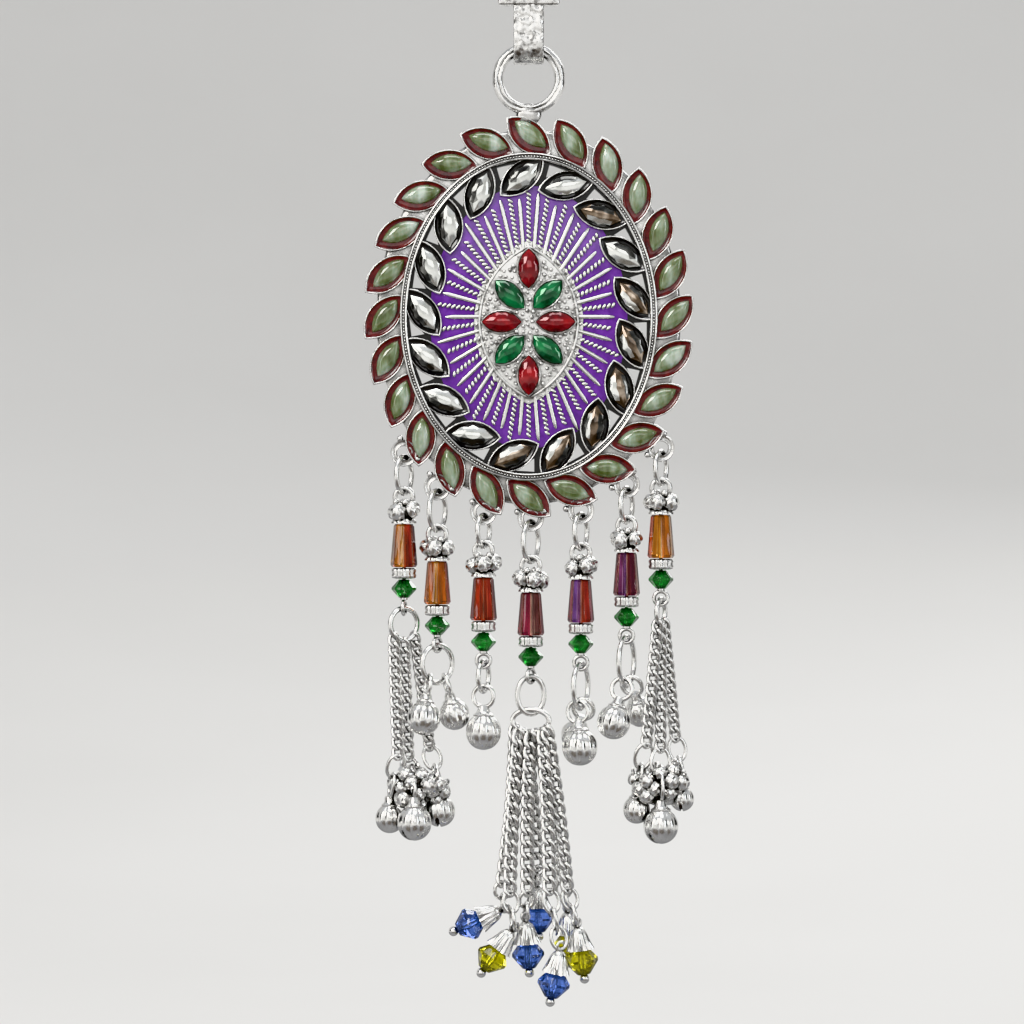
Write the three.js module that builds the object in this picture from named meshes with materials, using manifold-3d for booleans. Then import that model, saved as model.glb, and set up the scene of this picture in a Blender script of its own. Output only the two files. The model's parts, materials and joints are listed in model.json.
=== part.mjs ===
// Hair bun ornament: an oval openwork medallion that hangs by its top ring from a strap hook, with seven
// strings of glass beads, bells and chains below it. Millimetres, +Z up, front towards -Y.
// The origin is the inside of the hook's bend, where the ornament hangs.
import * as THREE from "three";
import { mergeVertices } from "three/addons/utils/BufferGeometryUtils.js";
import loadManifold from "manifold-3d";

const wasm = await loadManifold();
wasm.setup();

// Strap hook: one flat strap bent into a closed loop below a cross bar and an open hook above it.
const STRAP_WIDTH = 5.6;
const STRAP_THICKNESS = 1.0;
const SLOT_HALF = 2.6;
const PIVOT_BELOW_ORIGIN = 28.0;
const SEAT_BELOW_PIVOT = 1.4;
const LOOP_ABOVE_PIVOT = 7.4;
const BAR_WIDTH = 11.4;
const BAR_BOTTOM_ABOVE_PIVOT = 8.2;
const BAR_HEIGHT = 3.0;
const BAR_DEPTH = 2.4;
const HOOK_ENTRY = 5.8;

// Top ring of the medallion.
const RING_RADIUS = 5.77;
const RING_WIRE = 1.0;
const RING_ABOVE_CENTRE = 44.3;
const RING_FOOT = { width: 6.0, height: 2.2, depth: 2.0 };

// Medallion: heights are measured towards the viewer from the middle of the casting. The corners of a pierced gap
// lie along and out from the middle of its crystal.
const BACK = -1.2;
const PLATE_FRONT = 0.0;
const RIM = { across: 23.95, up: 30.5, band: 1.35, top: 1.3 };
const WEB_REACH = 3.7;
const LEAF = { count: 24, across: 27.0, up: 33.6, length: 10.8, width: 5.8, tilt: -40, top: 0.8 };
const CRYSTAL = { count: 17, across: 19.6, up: 26.1, length: 10.9, width: 5.6, tilt: 36, top: 0.9 };
const CRYSTAL_LEAD = -0.15;
const SET_STONE = { length: 8.0, width: 3.7, foot: 1.05 };
const CABOCHON_TOP = { height: 1.5, scale: 0.5 };
const CRYSTAL_TABLE = { height: 1.6, scale: 0.6 };
const PIERCED_GAP = [[-4.5, 2.1], [-4.0, -0.3], [-1.0, 2.6]];
const FIELD = { across: 17.6, up: 23.4, rise: 0.7, flat: 0.5 };
const RAY = { count: 30, inner: 0.5, outer: 1.0, width: 0.62, height: 0.36, root: 0.5, sink: 0.06 };
const BOSS = { length: 28.6, width: 18.6, below: 1.0, wall: 1.35, top: 1.8, flat: 0.8 };
const CENTRE_STONE = { length: 7.2, width: 3.7, gap: 0.28, seat: 1.05, girdle: 1.75, table: 2.6 };
const CENTRE_STONE_SCALE = { foot: 0.8, girdle: 1.0, table: 0.55 };
const LUG = { outer: 2.45, hole: 1.3, back: -0.8, front: 0.5 };

// Sides of round and curved forms, how far joined forms run into each other, and how far a cut runs past.
const SIDES = {
  rim: 34, boss: 10, marquise: 4, bend: 3, ring: 16, ringWire: 6, lug: 9,
  link: 10, wire: 5, bead: 10, cut: 8, chainSteps: 3,
};
const WELD = 0.1;
const CUT_PAST = 1.0;

// Strings of beads: each hangs on a jump ring in its lug.
const JUMP_WIRE = 0.45;
const JUMP_TURN = 68;
const HANG_SLACK = 0.62;
const LOWER_EYE = { radius: 1.28, wire: 0.38, slack: 0.28 };
const CAP = { radius: 1.9, height: 1.3 };
const CLUSTER = { radius: 2.75, neck: 1.2, height: 4.2 };
const STRING_WIRE = 0.36;
const BEAD_HOLE = 0.66;
const BEAD = { length: 8.0, top: 1.9, bottom: 2.5 };
const SPACER = { radius: 2.25, height: 2.0 };
const BICONE = { radius: 2.0, height: 3.4 };
const STACK_GAP = 0.15;

// Bells, chains and the tips of the centre tassel. A chain is a tube of its outer size.
const SHANK = { radius: 2.0, wire: 0.42, below: 0.93 };
const BELL_NECK = { length: 0.5, radius: 1.1 };
const BELL_FORM = { drop: 1.2, shoulder: 0.7, rise: 0.72 };
const CHAIN_RADIUS = 0.95;
const CHAIN_OFFSET = 0.54;
const TIP_CAP = { top: 1.15, bottom: 2.5, length: 3.6 };
const TIP_BEAD = { radius: 3.0, height: 5.2 };
const TIP_BALL = 0.92;

const degrees = THREE.MathUtils.degToRad;
const strapHalf = STRAP_WIDTH / 2;
const pivotY = -PIVOT_BELOW_ORIGIN;
const ringY = pivotY - Math.sqrt(RING_RADIUS ** 2 - strapHalf ** 2);
const centreY = ringY - RING_ABOVE_CENTRE;

// Lugs and strings from left to right: hole centre from the medallion's centre, how far the bead's top hangs
// below it, and the turn of the lower eye about the string.
const DROPS = [
  { name: "drop_1", x: -23.2, y: -25.3, bead: 13.2, lowerTurn: 105, glass: 0xc26a1e },
  { name: "drop_2", x: -17.0, y: -31.6, bead: 13.8, lowerTurn: 90, glass: 0xd08a2a },
  { name: "drop_3", x: -8.4, y: -36.2, bead: 12.2, lowerTurn: 0, glass: 0xb8331c },
  { name: "drop_4", x: 0.4, y: -37.4, bead: 13.8, lowerTurn: 90, glass: 0x7a1428 },
  { name: "drop_5", x: 9.7, y: -36.0, bead: 12.8, lowerTurn: 0, glass: 0x8a3a5c },
  { name: "drop_6", x: 18.2, y: -31.2, bead: 12.6, lowerTurn: 0, glass: 0x93244a },
  { name: "drop_7", x: 24.6, y: -24.4, bead: 12.4, lowerTurn: 0, glass: 0xb9862c },
];

// Short strings end in a ring with bells: radius and turn of the ring, then where each bell hangs on it in
// degrees from its bottom, the bell's radius, and how it leans to the right and towards the viewer.
const BELL_DROPS = {
  drop_2: {
    ring: 3.5, turn: 15,
    bells: [
      { name: "a", hang: -28, radius: 3.15, lean: -7, pitch: 18 },
      { name: "b", hang: 28, radius: 2.9, lean: 13, pitch: -16 },
    ],
  },
  drop_3: { ring: 2.8, turn: 70, bells: [{ name: "a", hang: 0, radius: 3.4, lean: 0, pitch: 0 }] },
  drop_5: {
    ring: 4.2, turn: 70,
    bells: [
      { name: "a", hang: -26, radius: 3.4, lean: 3, pitch: 6 },
      { name: "b", hang: 32, radius: 2.8, lean: -14, pitch: -26 },
    ],
  },
  drop_6: {
    ring: 4.6, turn: 70,
    bells: [
      { name: "a", hang: -26, radius: 3.2, lean: -14, pitch: 8 },
      { name: "b", hang: 32, radius: 2.8, lean: 16, pitch: -26 },
    ],
  },
};

// Outer tassels: radius and turn of the ring, then where each chain hangs on it, the chain's end and the middle
// of its bell, both as [x, y, depth] from the medallion's centre, and the bell's radius.
const SIDE_TASSELS = [
  {
    drop: 0, ring: 3.0, turn: 35,
    strands: [
      { hang: -50, end: [-24.3, -81.8, 1.0], bell: [-25.9, -93.4, -1.5], radius: 2.75 },
      { hang: 0, end: [-22.4, -82.4, -2.4], bell: [-21.2, -93.9, 2.0], radius: 3.3 },
      { hang: 50, end: [-18.5, -80.5, -4.6], bell: [-16.6, -92.1, -2.2], radius: 2.95 },
    ],
  },
  {
    drop: 6, ring: 2.5, turn: 70,
    strands: [
      { hang: -50, end: [21.8, -79.6, 1.4], bell: [20.1, -91.7, -0.6], radius: 2.6 },
      { hang: 0, end: [24.5, -80.5, 0.6], bell: [24.5, -94.5, 2.0], radius: 3.3 },
      { hang: 50, end: [27.4, -78.7, -1.8], bell: [28.6, -89.8, -1.8], radius: 2.3 },
    ],
  },
];

// Centre tassel: an upper ring, a lower ring, and chains with capped bicone tips. Hang is where the chain meets
// the lower ring in degrees from its bottom, side is 1 in front of the ring or -1 behind it, and lean is the
// pin's lean to the right. End is the chain's end and bead the middle of its bicone, both as [x, y, depth] from
// the medallion's centre.
const TASSEL_RING = { across: 2.55, up: 3.5, turn: 12 };
const TASSEL_LOWER_RING = { across: 3.5, up: 2.1, turn: -14, above: 0.85 };
const GREEN = 0x0c5a10;
const BLUE = 0x2f4fb0;
const YELLOW = 0xb7b000;
const STRANDS = [
  {
    name: "a", hang: -60, side: -1, lean: -66, colour: BLUE,
    end: [-5.0, -105.6, -1.5], bead: [-10.9, -113.1, -1.9],
  },
  {
    name: "b", hang: -40, side: 1, lean: -36, colour: YELLOW,
    end: [-3.5, -107.1, 1.2], bead: [-6.8, -119.0, 1.5],
  },
  {
    name: "c", hang: 0, side: 1, lean: 4, colour: BLUE,
    end: [-0.2, -107.1, 0.4], bead: [-0.1, -118.7, -1.2],
  },
  {
    name: "d", hang: -20, side: -1, lean: 2, colour: BLUE,
    end: [1.6, -103.0, -4.5], bead: [1.8, -112.5, -5.6],
  },
  {
    name: "e", hang: 40, side: 1, lean: -11, colour: BLUE,
    end: [3.8, -106.6, 2.9], bead: [4.6, -123.5, 3.6],
  },
  {
    name: "f", hang: 20, side: -1, lean: 3, colour: YELLOW,
    end: [6.4, -105.6, -5.5], bead: [7.7, -117.7, -6.9],
  },
  {
    name: "g", hang: 60, side: 1, lean: 8, colour: YELLOW,
    end: [7.2, -106.6, 0.5], bead: [9.9, -119.6, 0.6],
  },
];

// Eight stones on the boss: place from its middle and turn of the long axis.
const CENTRE_STONES = [
  { name: "top", x: 0, y: 9.9, turn: 90, colour: 0x9c0d1c },
  { name: "bottom", x: 0, y: -9.9, turn: 90, colour: 0x9c0d1c },
  { name: "left", x: -5.0, y: 0, turn: 0, colour: 0x9c0d1c },
  { name: "right", x: 5.0, y: 0, turn: 0, colour: 0x9c0d1c },
  { name: "upper_left", x: -3.5, y: 5.1, turn: -44, colour: 0x0b5a2c },
  { name: "upper_right", x: 3.5, y: 5.1, turn: 44, colour: 0x0b5a2c },
  { name: "lower_left", x: -3.5, y: -5.1, turn: 44, colour: 0x0b5a2c },
  { name: "lower_right", x: 3.5, y: -5.1, turn: -44, colour: 0x0b5a2c },
];

const silver = new THREE.MeshStandardMaterial({ color: 0xd9dadb, roughness: 0.25, metalness: 1.0 });

function stoneMaterial(colour) {
  return new THREE.MeshStandardMaterial({ color: colour, roughness: 0.08, metalness: 0.0 });
}

// A closed geometry as a solid that can be joined and cut.
function solid(geometry) {
  const bare = new THREE.BufferGeometry();
  bare.setAttribute("position", geometry.getAttribute("position"));
  bare.setIndex(geometry.index);
  const merged = mergeVertices(bare, 1e-4);
  const corners = [];
  for (let i = 0; i < merged.index.count; i += 3) {
    const [a, b, c] = [0, 1, 2].map((k) => merged.index.getX(i + k));
    if (a !== b && b !== c && c !== a) corners.push(a, b, c);
  }
  const mesh = new wasm.Mesh({
    numProp: 3,
    vertProperties: merged.attributes.position.array,
    triVerts: new Uint32Array(corners),
  });
  return new wasm.Manifold(mesh);
}

function join(bodies) {
  return bodies.reduce((whole, body) => whole.add(body));
}

// A named mesh of a finished solid.
function piece(name, body, material) {
  const { vertProperties, triVerts } = body.getMesh();
  const geometry = new THREE.BufferGeometry();
  geometry.setAttribute("position", new THREE.BufferAttribute(vertProperties, 3));
  geometry.setIndex(new THREE.BufferAttribute(triVerts, 1));
  geometry.computeVertexNormals();
  const mesh = new THREE.Mesh(geometry, material);
  mesh.name = name;
  return mesh;
}

// Outline of a marquise with pointed ends on the x axis.
function marquise(length, width, steps) {
  const radius = (length ** 2 + width ** 2) / (4 * width);
  const spread = Math.asin(length / 2 / radius);
  const outline = [];
  for (const side of [-1, 1]) {
    for (let i = 0; i < steps; i++) {
      const angle = (side * Math.PI) / 2 - spread + (2 * spread * i) / steps;
      const middle = side * (width / 2 - radius);
      outline.push(new THREE.Vector2(radius * Math.cos(angle), middle + radius * Math.sin(angle)));
    }
  }
  return outline;
}

function oval(across, up, steps) {
  return new THREE.EllipseCurve(0, 0, across, up).getPoints(steps).slice(0, steps);
}

// An outline raised into a slab from one height to another.
function slab(outline, from, to, hole) {
  const shape = new THREE.Shape(outline);
  if (hole) shape.holes.push(new THREE.Path(hole));
  const options = { depth: to - from, bevelEnabled: false, steps: 1 };
  return new THREE.ExtrudeGeometry(shape, options).translate(0, 0, from);
}

// An outline stacked in levels, each with its own scale and height, closed at both ends.
function stack(outline, levels) {
  const count = outline.length;
  const places = [];
  const corners = [];
  for (const level of levels) {
    for (const point of outline) places.push(point.x * level.scale, point.y * level.scale, level.height);
  }
  for (let ring = 0; ring + 1 < levels.length; ring++) {
    for (let i = 0; i < count; i++) {
      const a = ring * count + i;
      const b = ring * count + ((i + 1) % count);
      corners.push(a, b, b + count, a, b + count, a + count);
    }
  }
  const last = (levels.length - 1) * count;
  for (let i = 1; i + 1 < count; i++) {
    corners.push(0, i + 1, i, last, last + i, last + i + 1);
  }
  const geometry = new THREE.BufferGeometry();
  geometry.setAttribute("position", new THREE.Float32BufferAttribute(places, 3));
  geometry.setIndex(corners);
  return geometry;
}

// A profile of [radius, height] rows turned about the upright axis.
function turned(profile, sides) {
  return new THREE.LatheGeometry(profile.map(([radius, height]) => new THREE.Vector2(radius, height)), sides);
}

// A wire ring in the plane facing the viewer, turned about the upright axis.
function wireRing(radius, wire, turn = 0, sides = SIDES.link) {
  return new THREE.TorusGeometry(radius, wire, SIDES.wire, sides).rotateY(degrees(turn));
}

// Places spaced equally along an oval, clockwise from the top, with the heading of travel.
function placesRound(across, up, count, lead = 0) {
  const path = new THREE.EllipseCurve(0, 0, across, up, Math.PI / 2, -1.5 * Math.PI, true);
  path.arcLengthDivisions = 720;
  return Array.from({ length: count }, (_, i) => {
    const along = ((i + lead) / count + 1) % 1;
    const point = path.getPointAt(along);
    const travel = path.getTangentAt(along);
    return { x: point.x, y: point.y, heading: Math.atan2(travel.y, travel.x) };
  });
}

function placed(geometry, place, tilt) {
  return geometry.rotateZ(place.heading + degrees(tilt)).translate(place.x, place.y, 0);
}

// Strap hook.
function makeHook() {
  const outer = SLOT_HALF + STRAP_THICKNESS;
  const stadium = (half, bottom, top) => {
    const outline = new THREE.Path();
    outline.absarc(0, top - half, half, 0, Math.PI);
    outline.absarc(0, bottom + half, half, Math.PI, 2 * Math.PI);
    return outline.getPoints(SIDES.bend);
  };
  const across = (outline, width) =>
    solid(slab(outline, 0, width).rotateY(-Math.PI / 2).translate(width / 2, 0, 0));
  const barTop = pivotY + BAR_BOTTOM_ABOVE_PIVOT + BAR_HEIGHT;
  const seat = pivotY - SEAT_BELOW_PIVOT;
  const strap = across(stadium(outer, seat - STRAP_THICKNESS, STRAP_THICKNESS), STRAP_WIDTH);
  const loopSlot = across(stadium(SLOT_HALF, seat, pivotY + LOOP_ABOVE_PIVOT), 2 * STRAP_WIDTH);
  const hookSlot = across(stadium(SLOT_HALF, barTop - SLOT_HALF, 0), 2 * STRAP_WIDTH);
  const bridge = new THREE.BoxGeometry(STRAP_WIDTH, BAR_HEIGHT, 2 * SLOT_HALF + 4 * WELD);
  const entry = new THREE.BoxGeometry(2 * STRAP_WIDTH, HOOK_ENTRY, 2 * STRAP_THICKNESS);
  const bar = new THREE.BoxGeometry(BAR_WIDTH, BAR_HEIGHT, BAR_DEPTH);
  const barY = barTop - BAR_HEIGHT / 2;
  return strap
    .subtract(loopSlot)
    .subtract(hookSlot)
    .add(solid(bridge.translate(0, barY, 0)))
    .subtract(solid(entry.translate(0, barTop + HOOK_ENTRY / 2, -outer + STRAP_THICKNESS / 2)))
    .add(solid(bar.translate(0, barY, outer + 2 * WELD - BAR_DEPTH / 2)));
}

// Border of settings on the casting, each with its stone fused on its face.
function makeSettings(row, lead, stone) {
  const places = placesRound(row.across, row.up, row.count, lead);
  const made = (geometry) => places.map((place) => solid(placed(geometry.clone(), place, row.tilt)));
  const wall = marquise(row.length, row.width, SIDES.marquise);
  return {
    places,
    walls: join(made(slab(wall, BACK, row.top))),
    stones: join(made(stone)),
  };
}

// One ridge of the rayed field from the boss to the collars, lying on the slope of the field.
function makeRay(angle) {
  const direction = new THREE.Vector2(FIELD.across * Math.cos(angle), FIELD.up * Math.sin(angle));
  const length = direction.length() * (RAY.outer - RAY.inner);
  const ridge = new THREE.Shape([
    new THREE.Vector2(-RAY.width / 2, -RAY.root),
    new THREE.Vector2(RAY.width / 2, -RAY.root),
    new THREE.Vector2(0, RAY.height),
  ]);
  const slope = Math.atan2(FIELD.rise, direction.length() * (1 - FIELD.flat));
  return new THREE.ExtrudeGeometry(ridge, { depth: length, bevelEnabled: false, steps: 1 })
    .rotateY(Math.PI / 2)
    .rotateX(Math.PI / 2)
    .translate(direction.length() * RAY.inner, 0, 0)
    .rotateY(slope)
    .translate(0, 0, PLATE_FRONT + FIELD.rise / (1 - FIELD.flat) - RAY.sink)
    .rotateZ(direction.angle());
}

function makeMedallion() {
  const rimOutline = oval(RIM.across, RIM.up, SIDES.rim);
  const rimInside = oval(RIM.across - RIM.band, RIM.up - RIM.band, SIDES.rim);
  const webOutline = oval(RIM.across + WEB_REACH, RIM.up + WEB_REACH, SIDES.rim);
  const cabochon = stack(marquise(SET_STONE.length, SET_STONE.width, SIDES.marquise - 1), [
    { scale: SET_STONE.foot, height: LEAF.top - WELD },
    CABOCHON_TOP,
  ]);
  const cutStone = stack(marquise(SET_STONE.length, SET_STONE.width, SIDES.marquise), [
    { scale: SET_STONE.foot, height: CRYSTAL.top - WELD },
    CRYSTAL_TABLE,
  ]);
  const leaves = makeSettings(LEAF, 0, cabochon);
  const crystals = makeSettings(CRYSTAL, CRYSTAL_LEAD, cutStone);

  const plate = solid(slab(webOutline, BACK, PLATE_FRONT));
  const field = stack(oval(FIELD.across, FIELD.up, RAY.count), [
    { scale: 1, height: BACK + 4 * WELD },
    { scale: 1, height: PLATE_FRONT },
    { scale: FIELD.flat, height: PLATE_FRONT + FIELD.rise },
  ]);
  const rays = Array.from({ length: RAY.count }, (_, i) =>
    solid(makeRay(Math.PI / 2 + ((i + 0.5) * 2 * Math.PI) / RAY.count)));
  const rim = solid(slab(rimOutline, BACK, RIM.top, rimInside));

  const bossOutline = marquise(BOSS.length, BOSS.width, SIDES.boss);
  const bossLevels = [
    { scale: 1, height: BACK + 4 * WELD },
    { scale: 1, height: BOSS.wall },
    { scale: BOSS.flat, height: BOSS.top },
  ];
  const boss = solid(stack(bossOutline, bossLevels).rotateZ(Math.PI / 2).translate(0, -BOSS.below, 0));
  const pocket = marquise(
    CENTRE_STONE.length + 3 * CENTRE_STONE.gap, CENTRE_STONE.width + 2 * CENTRE_STONE.gap, SIDES.marquise);
  const pockets = CENTRE_STONES.map((row) =>
    solid(slab(pocket, CENTRE_STONE.seat, BOSS.top + CUT_PAST).rotateZ(degrees(row.turn))
      .translate(row.x, row.y - BOSS.below, 0)));

  const gapCutters = crystals.places.map((place) => {
    const corners = PIERCED_GAP.map(([along, out]) => new THREE.Vector2(along, out));
    return solid(placed(slab(corners, BACK - CUT_PAST, RIM.top + CUT_PAST), place, 0));
  });

  const ringDrop = RING_ABOVE_CENTRE - RING_RADIUS;
  const ring = new THREE.TorusGeometry(RING_RADIUS, RING_WIRE, SIDES.ringWire, SIDES.ring)
    .rotateZ(Math.PI / SIDES.ring);
  const foot = new THREE.BoxGeometry(RING_FOOT.width, RING_FOOT.height, RING_FOOT.depth);

  const lugDisc = oval(LUG.outer, LUG.outer, SIDES.lug);
  const lugHole = oval(LUG.hole, LUG.hole, SIDES.lug);
  const lugs = [];
  const lugHoles = [];
  for (const drop of DROPS) {
    lugs.push(solid(slab(lugDisc, LUG.back, LUG.front).translate(drop.x, drop.y, 0)));
    lugHoles.push(solid(slab(lugHole, BACK - CUT_PAST, RIM.top + CUT_PAST).translate(drop.x, drop.y, 0)));
  }

  const openings = join(gapCutters).subtract(crystals.walls);
  return plate
    .add(solid(field))
    .add(join(rays))
    .add(leaves.walls)
    .add(crystals.walls)
    .add(rim)
    .subtract(openings)
    .add(leaves.stones)
    .add(crystals.stones)
    .add(boss)
    .subtract(join(pockets))
    .add(solid(ring.translate(0, RING_ABOVE_CENTRE, 0)))
    .add(solid(foot.translate(0, ringDrop - RING_FOOT.height / 2 + RING_WIRE / 2, 0)))
    .add(join(lugs))
    .subtract(join(lugHoles));
}

// A cut marquise stone with a table, lying in its pocket on the boss.
function makeCentreStone(row) {
  const outline = marquise(CENTRE_STONE.length, CENTRE_STONE.width, SIDES.marquise + 1);
  const levels = [
    { scale: CENTRE_STONE_SCALE.foot, height: CENTRE_STONE.seat + CENTRE_STONE.gap },
    { scale: CENTRE_STONE_SCALE.girdle, height: CENTRE_STONE.girdle },
    { scale: CENTRE_STONE_SCALE.table, height: CENTRE_STONE.table },
  ];
  return solid(stack(outline, levels).rotateZ(degrees(row.turn)).translate(row.x, row.y - BOSS.below, 0));
}

// Heights along a string, from the lug's hole downwards.
function stringHeights(drop) {
  const bead = -drop.bead;
  const jumpTop = -HANG_SLACK;
  const jumpBottom = bead + STACK_GAP + CAP.height + CLUSTER.height;
  const beadEnd = bead - BEAD.length;
  const spacer = beadEnd - STACK_GAP;
  const bicone = spacer - SPACER.height - STACK_GAP;
  const biconeEnd = bicone - BICONE.height;
  const lowerEye = biconeEnd - STACK_GAP - LOWER_EYE.radius - LOWER_EYE.wire;
  const lowerHang = lowerEye - LOWER_EYE.radius + LOWER_EYE.wire + JUMP_WIRE + LOWER_EYE.slack;
  return { bead, jumpTop, jumpBottom, beadEnd, spacer, bicone, biconeEnd, lowerEye, lowerHang };
}

// Jump ring, cluster of tiny bells, cap, wire, spacer, and the ring or eye at the end of one string. The jump
// ring is closed tight on the cluster.
function makeString(drop) {
  const at = stringHeights(drop);
  const jumpRadius = (at.jumpTop - at.jumpBottom) / 2;
  const jump = wireRing(jumpRadius, JUMP_WIRE, JUMP_TURN).translate(0, at.jumpTop - jumpRadius, 0);
  const capFoot = at.bead + STACK_GAP;
  const bells = BELL_DROPS[drop.name];
  const wireEnd = bells ? at.lowerHang : at.lowerEye + LOWER_EYE.radius;
  const line = turned([
    [0, wireEnd],
    [STRING_WIRE, wireEnd],
    [STRING_WIRE, at.spacer - SPACER.height],
    [SPACER.radius, at.spacer - SPACER.height],
    [SPACER.radius, at.spacer],
    [STRING_WIRE, at.spacer],
    [STRING_WIRE, capFoot],
    [CAP.radius, capFoot],
    [CLUSTER.radius, capFoot + CAP.height + CLUSTER.height / 2],
    [CLUSTER.neck, capFoot + CAP.height + CLUSTER.height],
    [0, capFoot + CAP.height + CLUSTER.height],
  ], SIDES.bead);
  const end = bells
    ? wireRing(bells.ring, JUMP_WIRE, bells.turn).translate(0, at.lowerHang - bells.ring, 0)
    : wireRing(LOWER_EYE.radius, LOWER_EYE.wire, drop.lowerTurn).translate(0, at.lowerEye, 0);
  return join([jump, line, end].map(solid));
}

// Tapered glass bead, drilled for its wire.
function makeBead(drop) {
  const { bead, beadEnd } = stringHeights(drop);
  return solid(turned([
    [BEAD_HOLE, beadEnd],
    [BEAD.bottom, beadEnd],
    [BEAD.top, bead],
    [BEAD_HOLE, bead],
    [BEAD_HOLE, beadEnd],
  ], SIDES.cut));
}

// Bicone bead, drilled, with its upper end at a height.
function makeBicone(size, top) {
  return turned([
    [BEAD_HOLE, top - size.height],
    [size.radius, top - size.height / 2],
    [BEAD_HOLE, top],
    [BEAD_HOLE, top - size.height],
  ], SIDES.cut);
}

// Body of a bell, its neck's top at the origin.
function bellBody(radius) {
  const middle = -BELL_NECK.length - BELL_FORM.drop * radius;
  const shoulder = BELL_FORM.shoulder * radius;
  return turned([
    [0, middle - radius],
    [shoulder, middle - BELL_FORM.rise * radius],
    [radius, middle],
    [shoulder, middle + BELL_FORM.rise * radius],
    [BELL_NECK.radius, 2 * WELD],
    [0, 2 * WELD],
  ], SIDES.bead);
}

// A point on a turned ring, in degrees from its bottom.
function ringPoint(across, up, turn, hang) {
  const point = new THREE.Vector3(across * Math.sin(degrees(hang)), -up * Math.cos(degrees(hang)), 0);
  return point.applyAxisAngle(new THREE.Vector3(0, 1, 0), degrees(turn));
}

// A bell whose shank loop hangs loosely on the ring of its string.
function makeBell(drop, row, bell) {
  const hung = ringPoint(row.ring, row.ring, row.turn, bell.hang);
  const hungY = stringHeights(drop).lowerHang - row.ring + hung.y;
  const shank = wireRing(SHANK.radius, SHANK.wire, row.turn + 90).translate(0, -SHANK.below, 0);
  const body = bellBody(bell.radius).translate(0, -SHANK.below - SHANK.radius, 0);
  const hang = (geometry) =>
    solid(geometry.rotateZ(degrees(bell.lean)).rotateX(degrees(-bell.pitch)).translate(hung.x, hungY, hung.z));
  return hang(shank).add(hang(body));
}

// A chain as a tube along a smooth path through points.
function chain(points) {
  const path = new THREE.CatmullRomCurve3(points.map((point) => new THREE.Vector3(...point)));
  const section = new THREE.Shape(oval(CHAIN_RADIUS, CHAIN_RADIUS, SIDES.cut));
  const options = { steps: SIDES.chainSteps, bevelEnabled: false, extrudePath: path };
  return solid(new THREE.ExtrudeGeometry(section, options));
}

// Ring, chains and bells of one outer tassel, from the medallion's centre.
function makeSideTassel(row) {
  const drop = DROPS[row.drop];
  const middle = drop.y + stringHeights(drop).lowerHang - row.ring;
  const bodies = [solid(wireRing(row.ring, JUMP_WIRE, row.turn).translate(drop.x, middle, 0))];
  for (const strand of row.strands) {
    const top = ringPoint(row.ring, row.ring, row.turn, strand.hang);
    const [x, y, depth] = strand.bell;
    const neck = y + BELL_NECK.length + BELL_FORM.drop * strand.radius;
    bodies.push(chain([[drop.x + top.x, middle + top.y, top.z], strand.end, [x, neck, depth]]));
    bodies.push(solid(bellBody(strand.radius).translate(x, neck, depth)));
  }
  return join(bodies);
}

// A tip's pieces are drawn upright with the bicone's middle at the origin, then leaned and placed.
function placeTip(geometry, strand) {
  return solid(geometry.rotateZ(degrees(strand.lean)).translate(...strand.bead));
}

// Rings, chains, caps and pins of the centre tassel, from the medallion's centre.
function makeTassel() {
  const drop = DROPS[3];
  const hang = drop.y + stringHeights(drop).lowerHang;
  const upperY = hang - TASSEL_RING.up;
  const lowerY = upperY - TASSEL_RING.up + TASSEL_LOWER_RING.above - TASSEL_LOWER_RING.up;
  const ovalRing = (ring, y) => {
    const round = new THREE.TorusGeometry(1, JUMP_WIRE, SIDES.wire, SIDES.link);
    const places = round.getAttribute("position");
    for (let i = 0; i < places.count; i++) {
      const spread = Math.hypot(places.getX(i), places.getY(i));
      const stretch = (size) => (size - 1) / spread + 1;
      places.setX(i, places.getX(i) * stretch(ring.across));
      places.setY(i, places.getY(i) * stretch(ring.up));
    }
    return solid(round.rotateY(degrees(ring.turn)).translate(drop.x, y, 0));
  };
  const bodies = [ovalRing(TASSEL_RING, upperY), ovalRing(TASSEL_LOWER_RING, lowerY)];
  const capFoot = TIP_BEAD.height / 2 + STACK_GAP;
  const capHead = capFoot + TIP_CAP.length;
  const chainFoot = capHead - 3 * WELD;
  const ballMiddle = -TIP_BEAD.height / 2 - TIP_BALL - STACK_GAP + WELD;
  for (const strand of STRANDS) {
    const top = ringPoint(TASSEL_LOWER_RING.across, TASSEL_LOWER_RING.up, TASSEL_LOWER_RING.turn, strand.hang);
    const lean = degrees(strand.lean);
    const [x, y, depth] = strand.bead;
    bodies.push(chain([
      [drop.x + top.x, lowerY + top.y - 2 * WELD, top.z + strand.side * CHAIN_OFFSET],
      strand.end,
      [x - chainFoot * Math.sin(lean), y + chainFoot * Math.cos(lean), depth],
    ]));
    const tip = turned([
      [0, ballMiddle - TIP_BALL],
      [TIP_BALL, ballMiddle],
      [STRING_WIRE, ballMiddle + TIP_BALL],
      [STRING_WIRE, capFoot],
      [TIP_CAP.bottom, capFoot],
      [TIP_CAP.top, capHead],
      [0, capHead],
    ], SIDES.bead);
    bodies.push(placeTip(tip, strand));
  }
  return join(bodies);
}

// Everything is drawn facing the viewer, x to the right and y up, and then stood up.
const ornament = new THREE.Group();
ornament.rotation.x = Math.PI / 2;
ornament.add(piece("bail_hook", makeHook(), silver));

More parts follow.
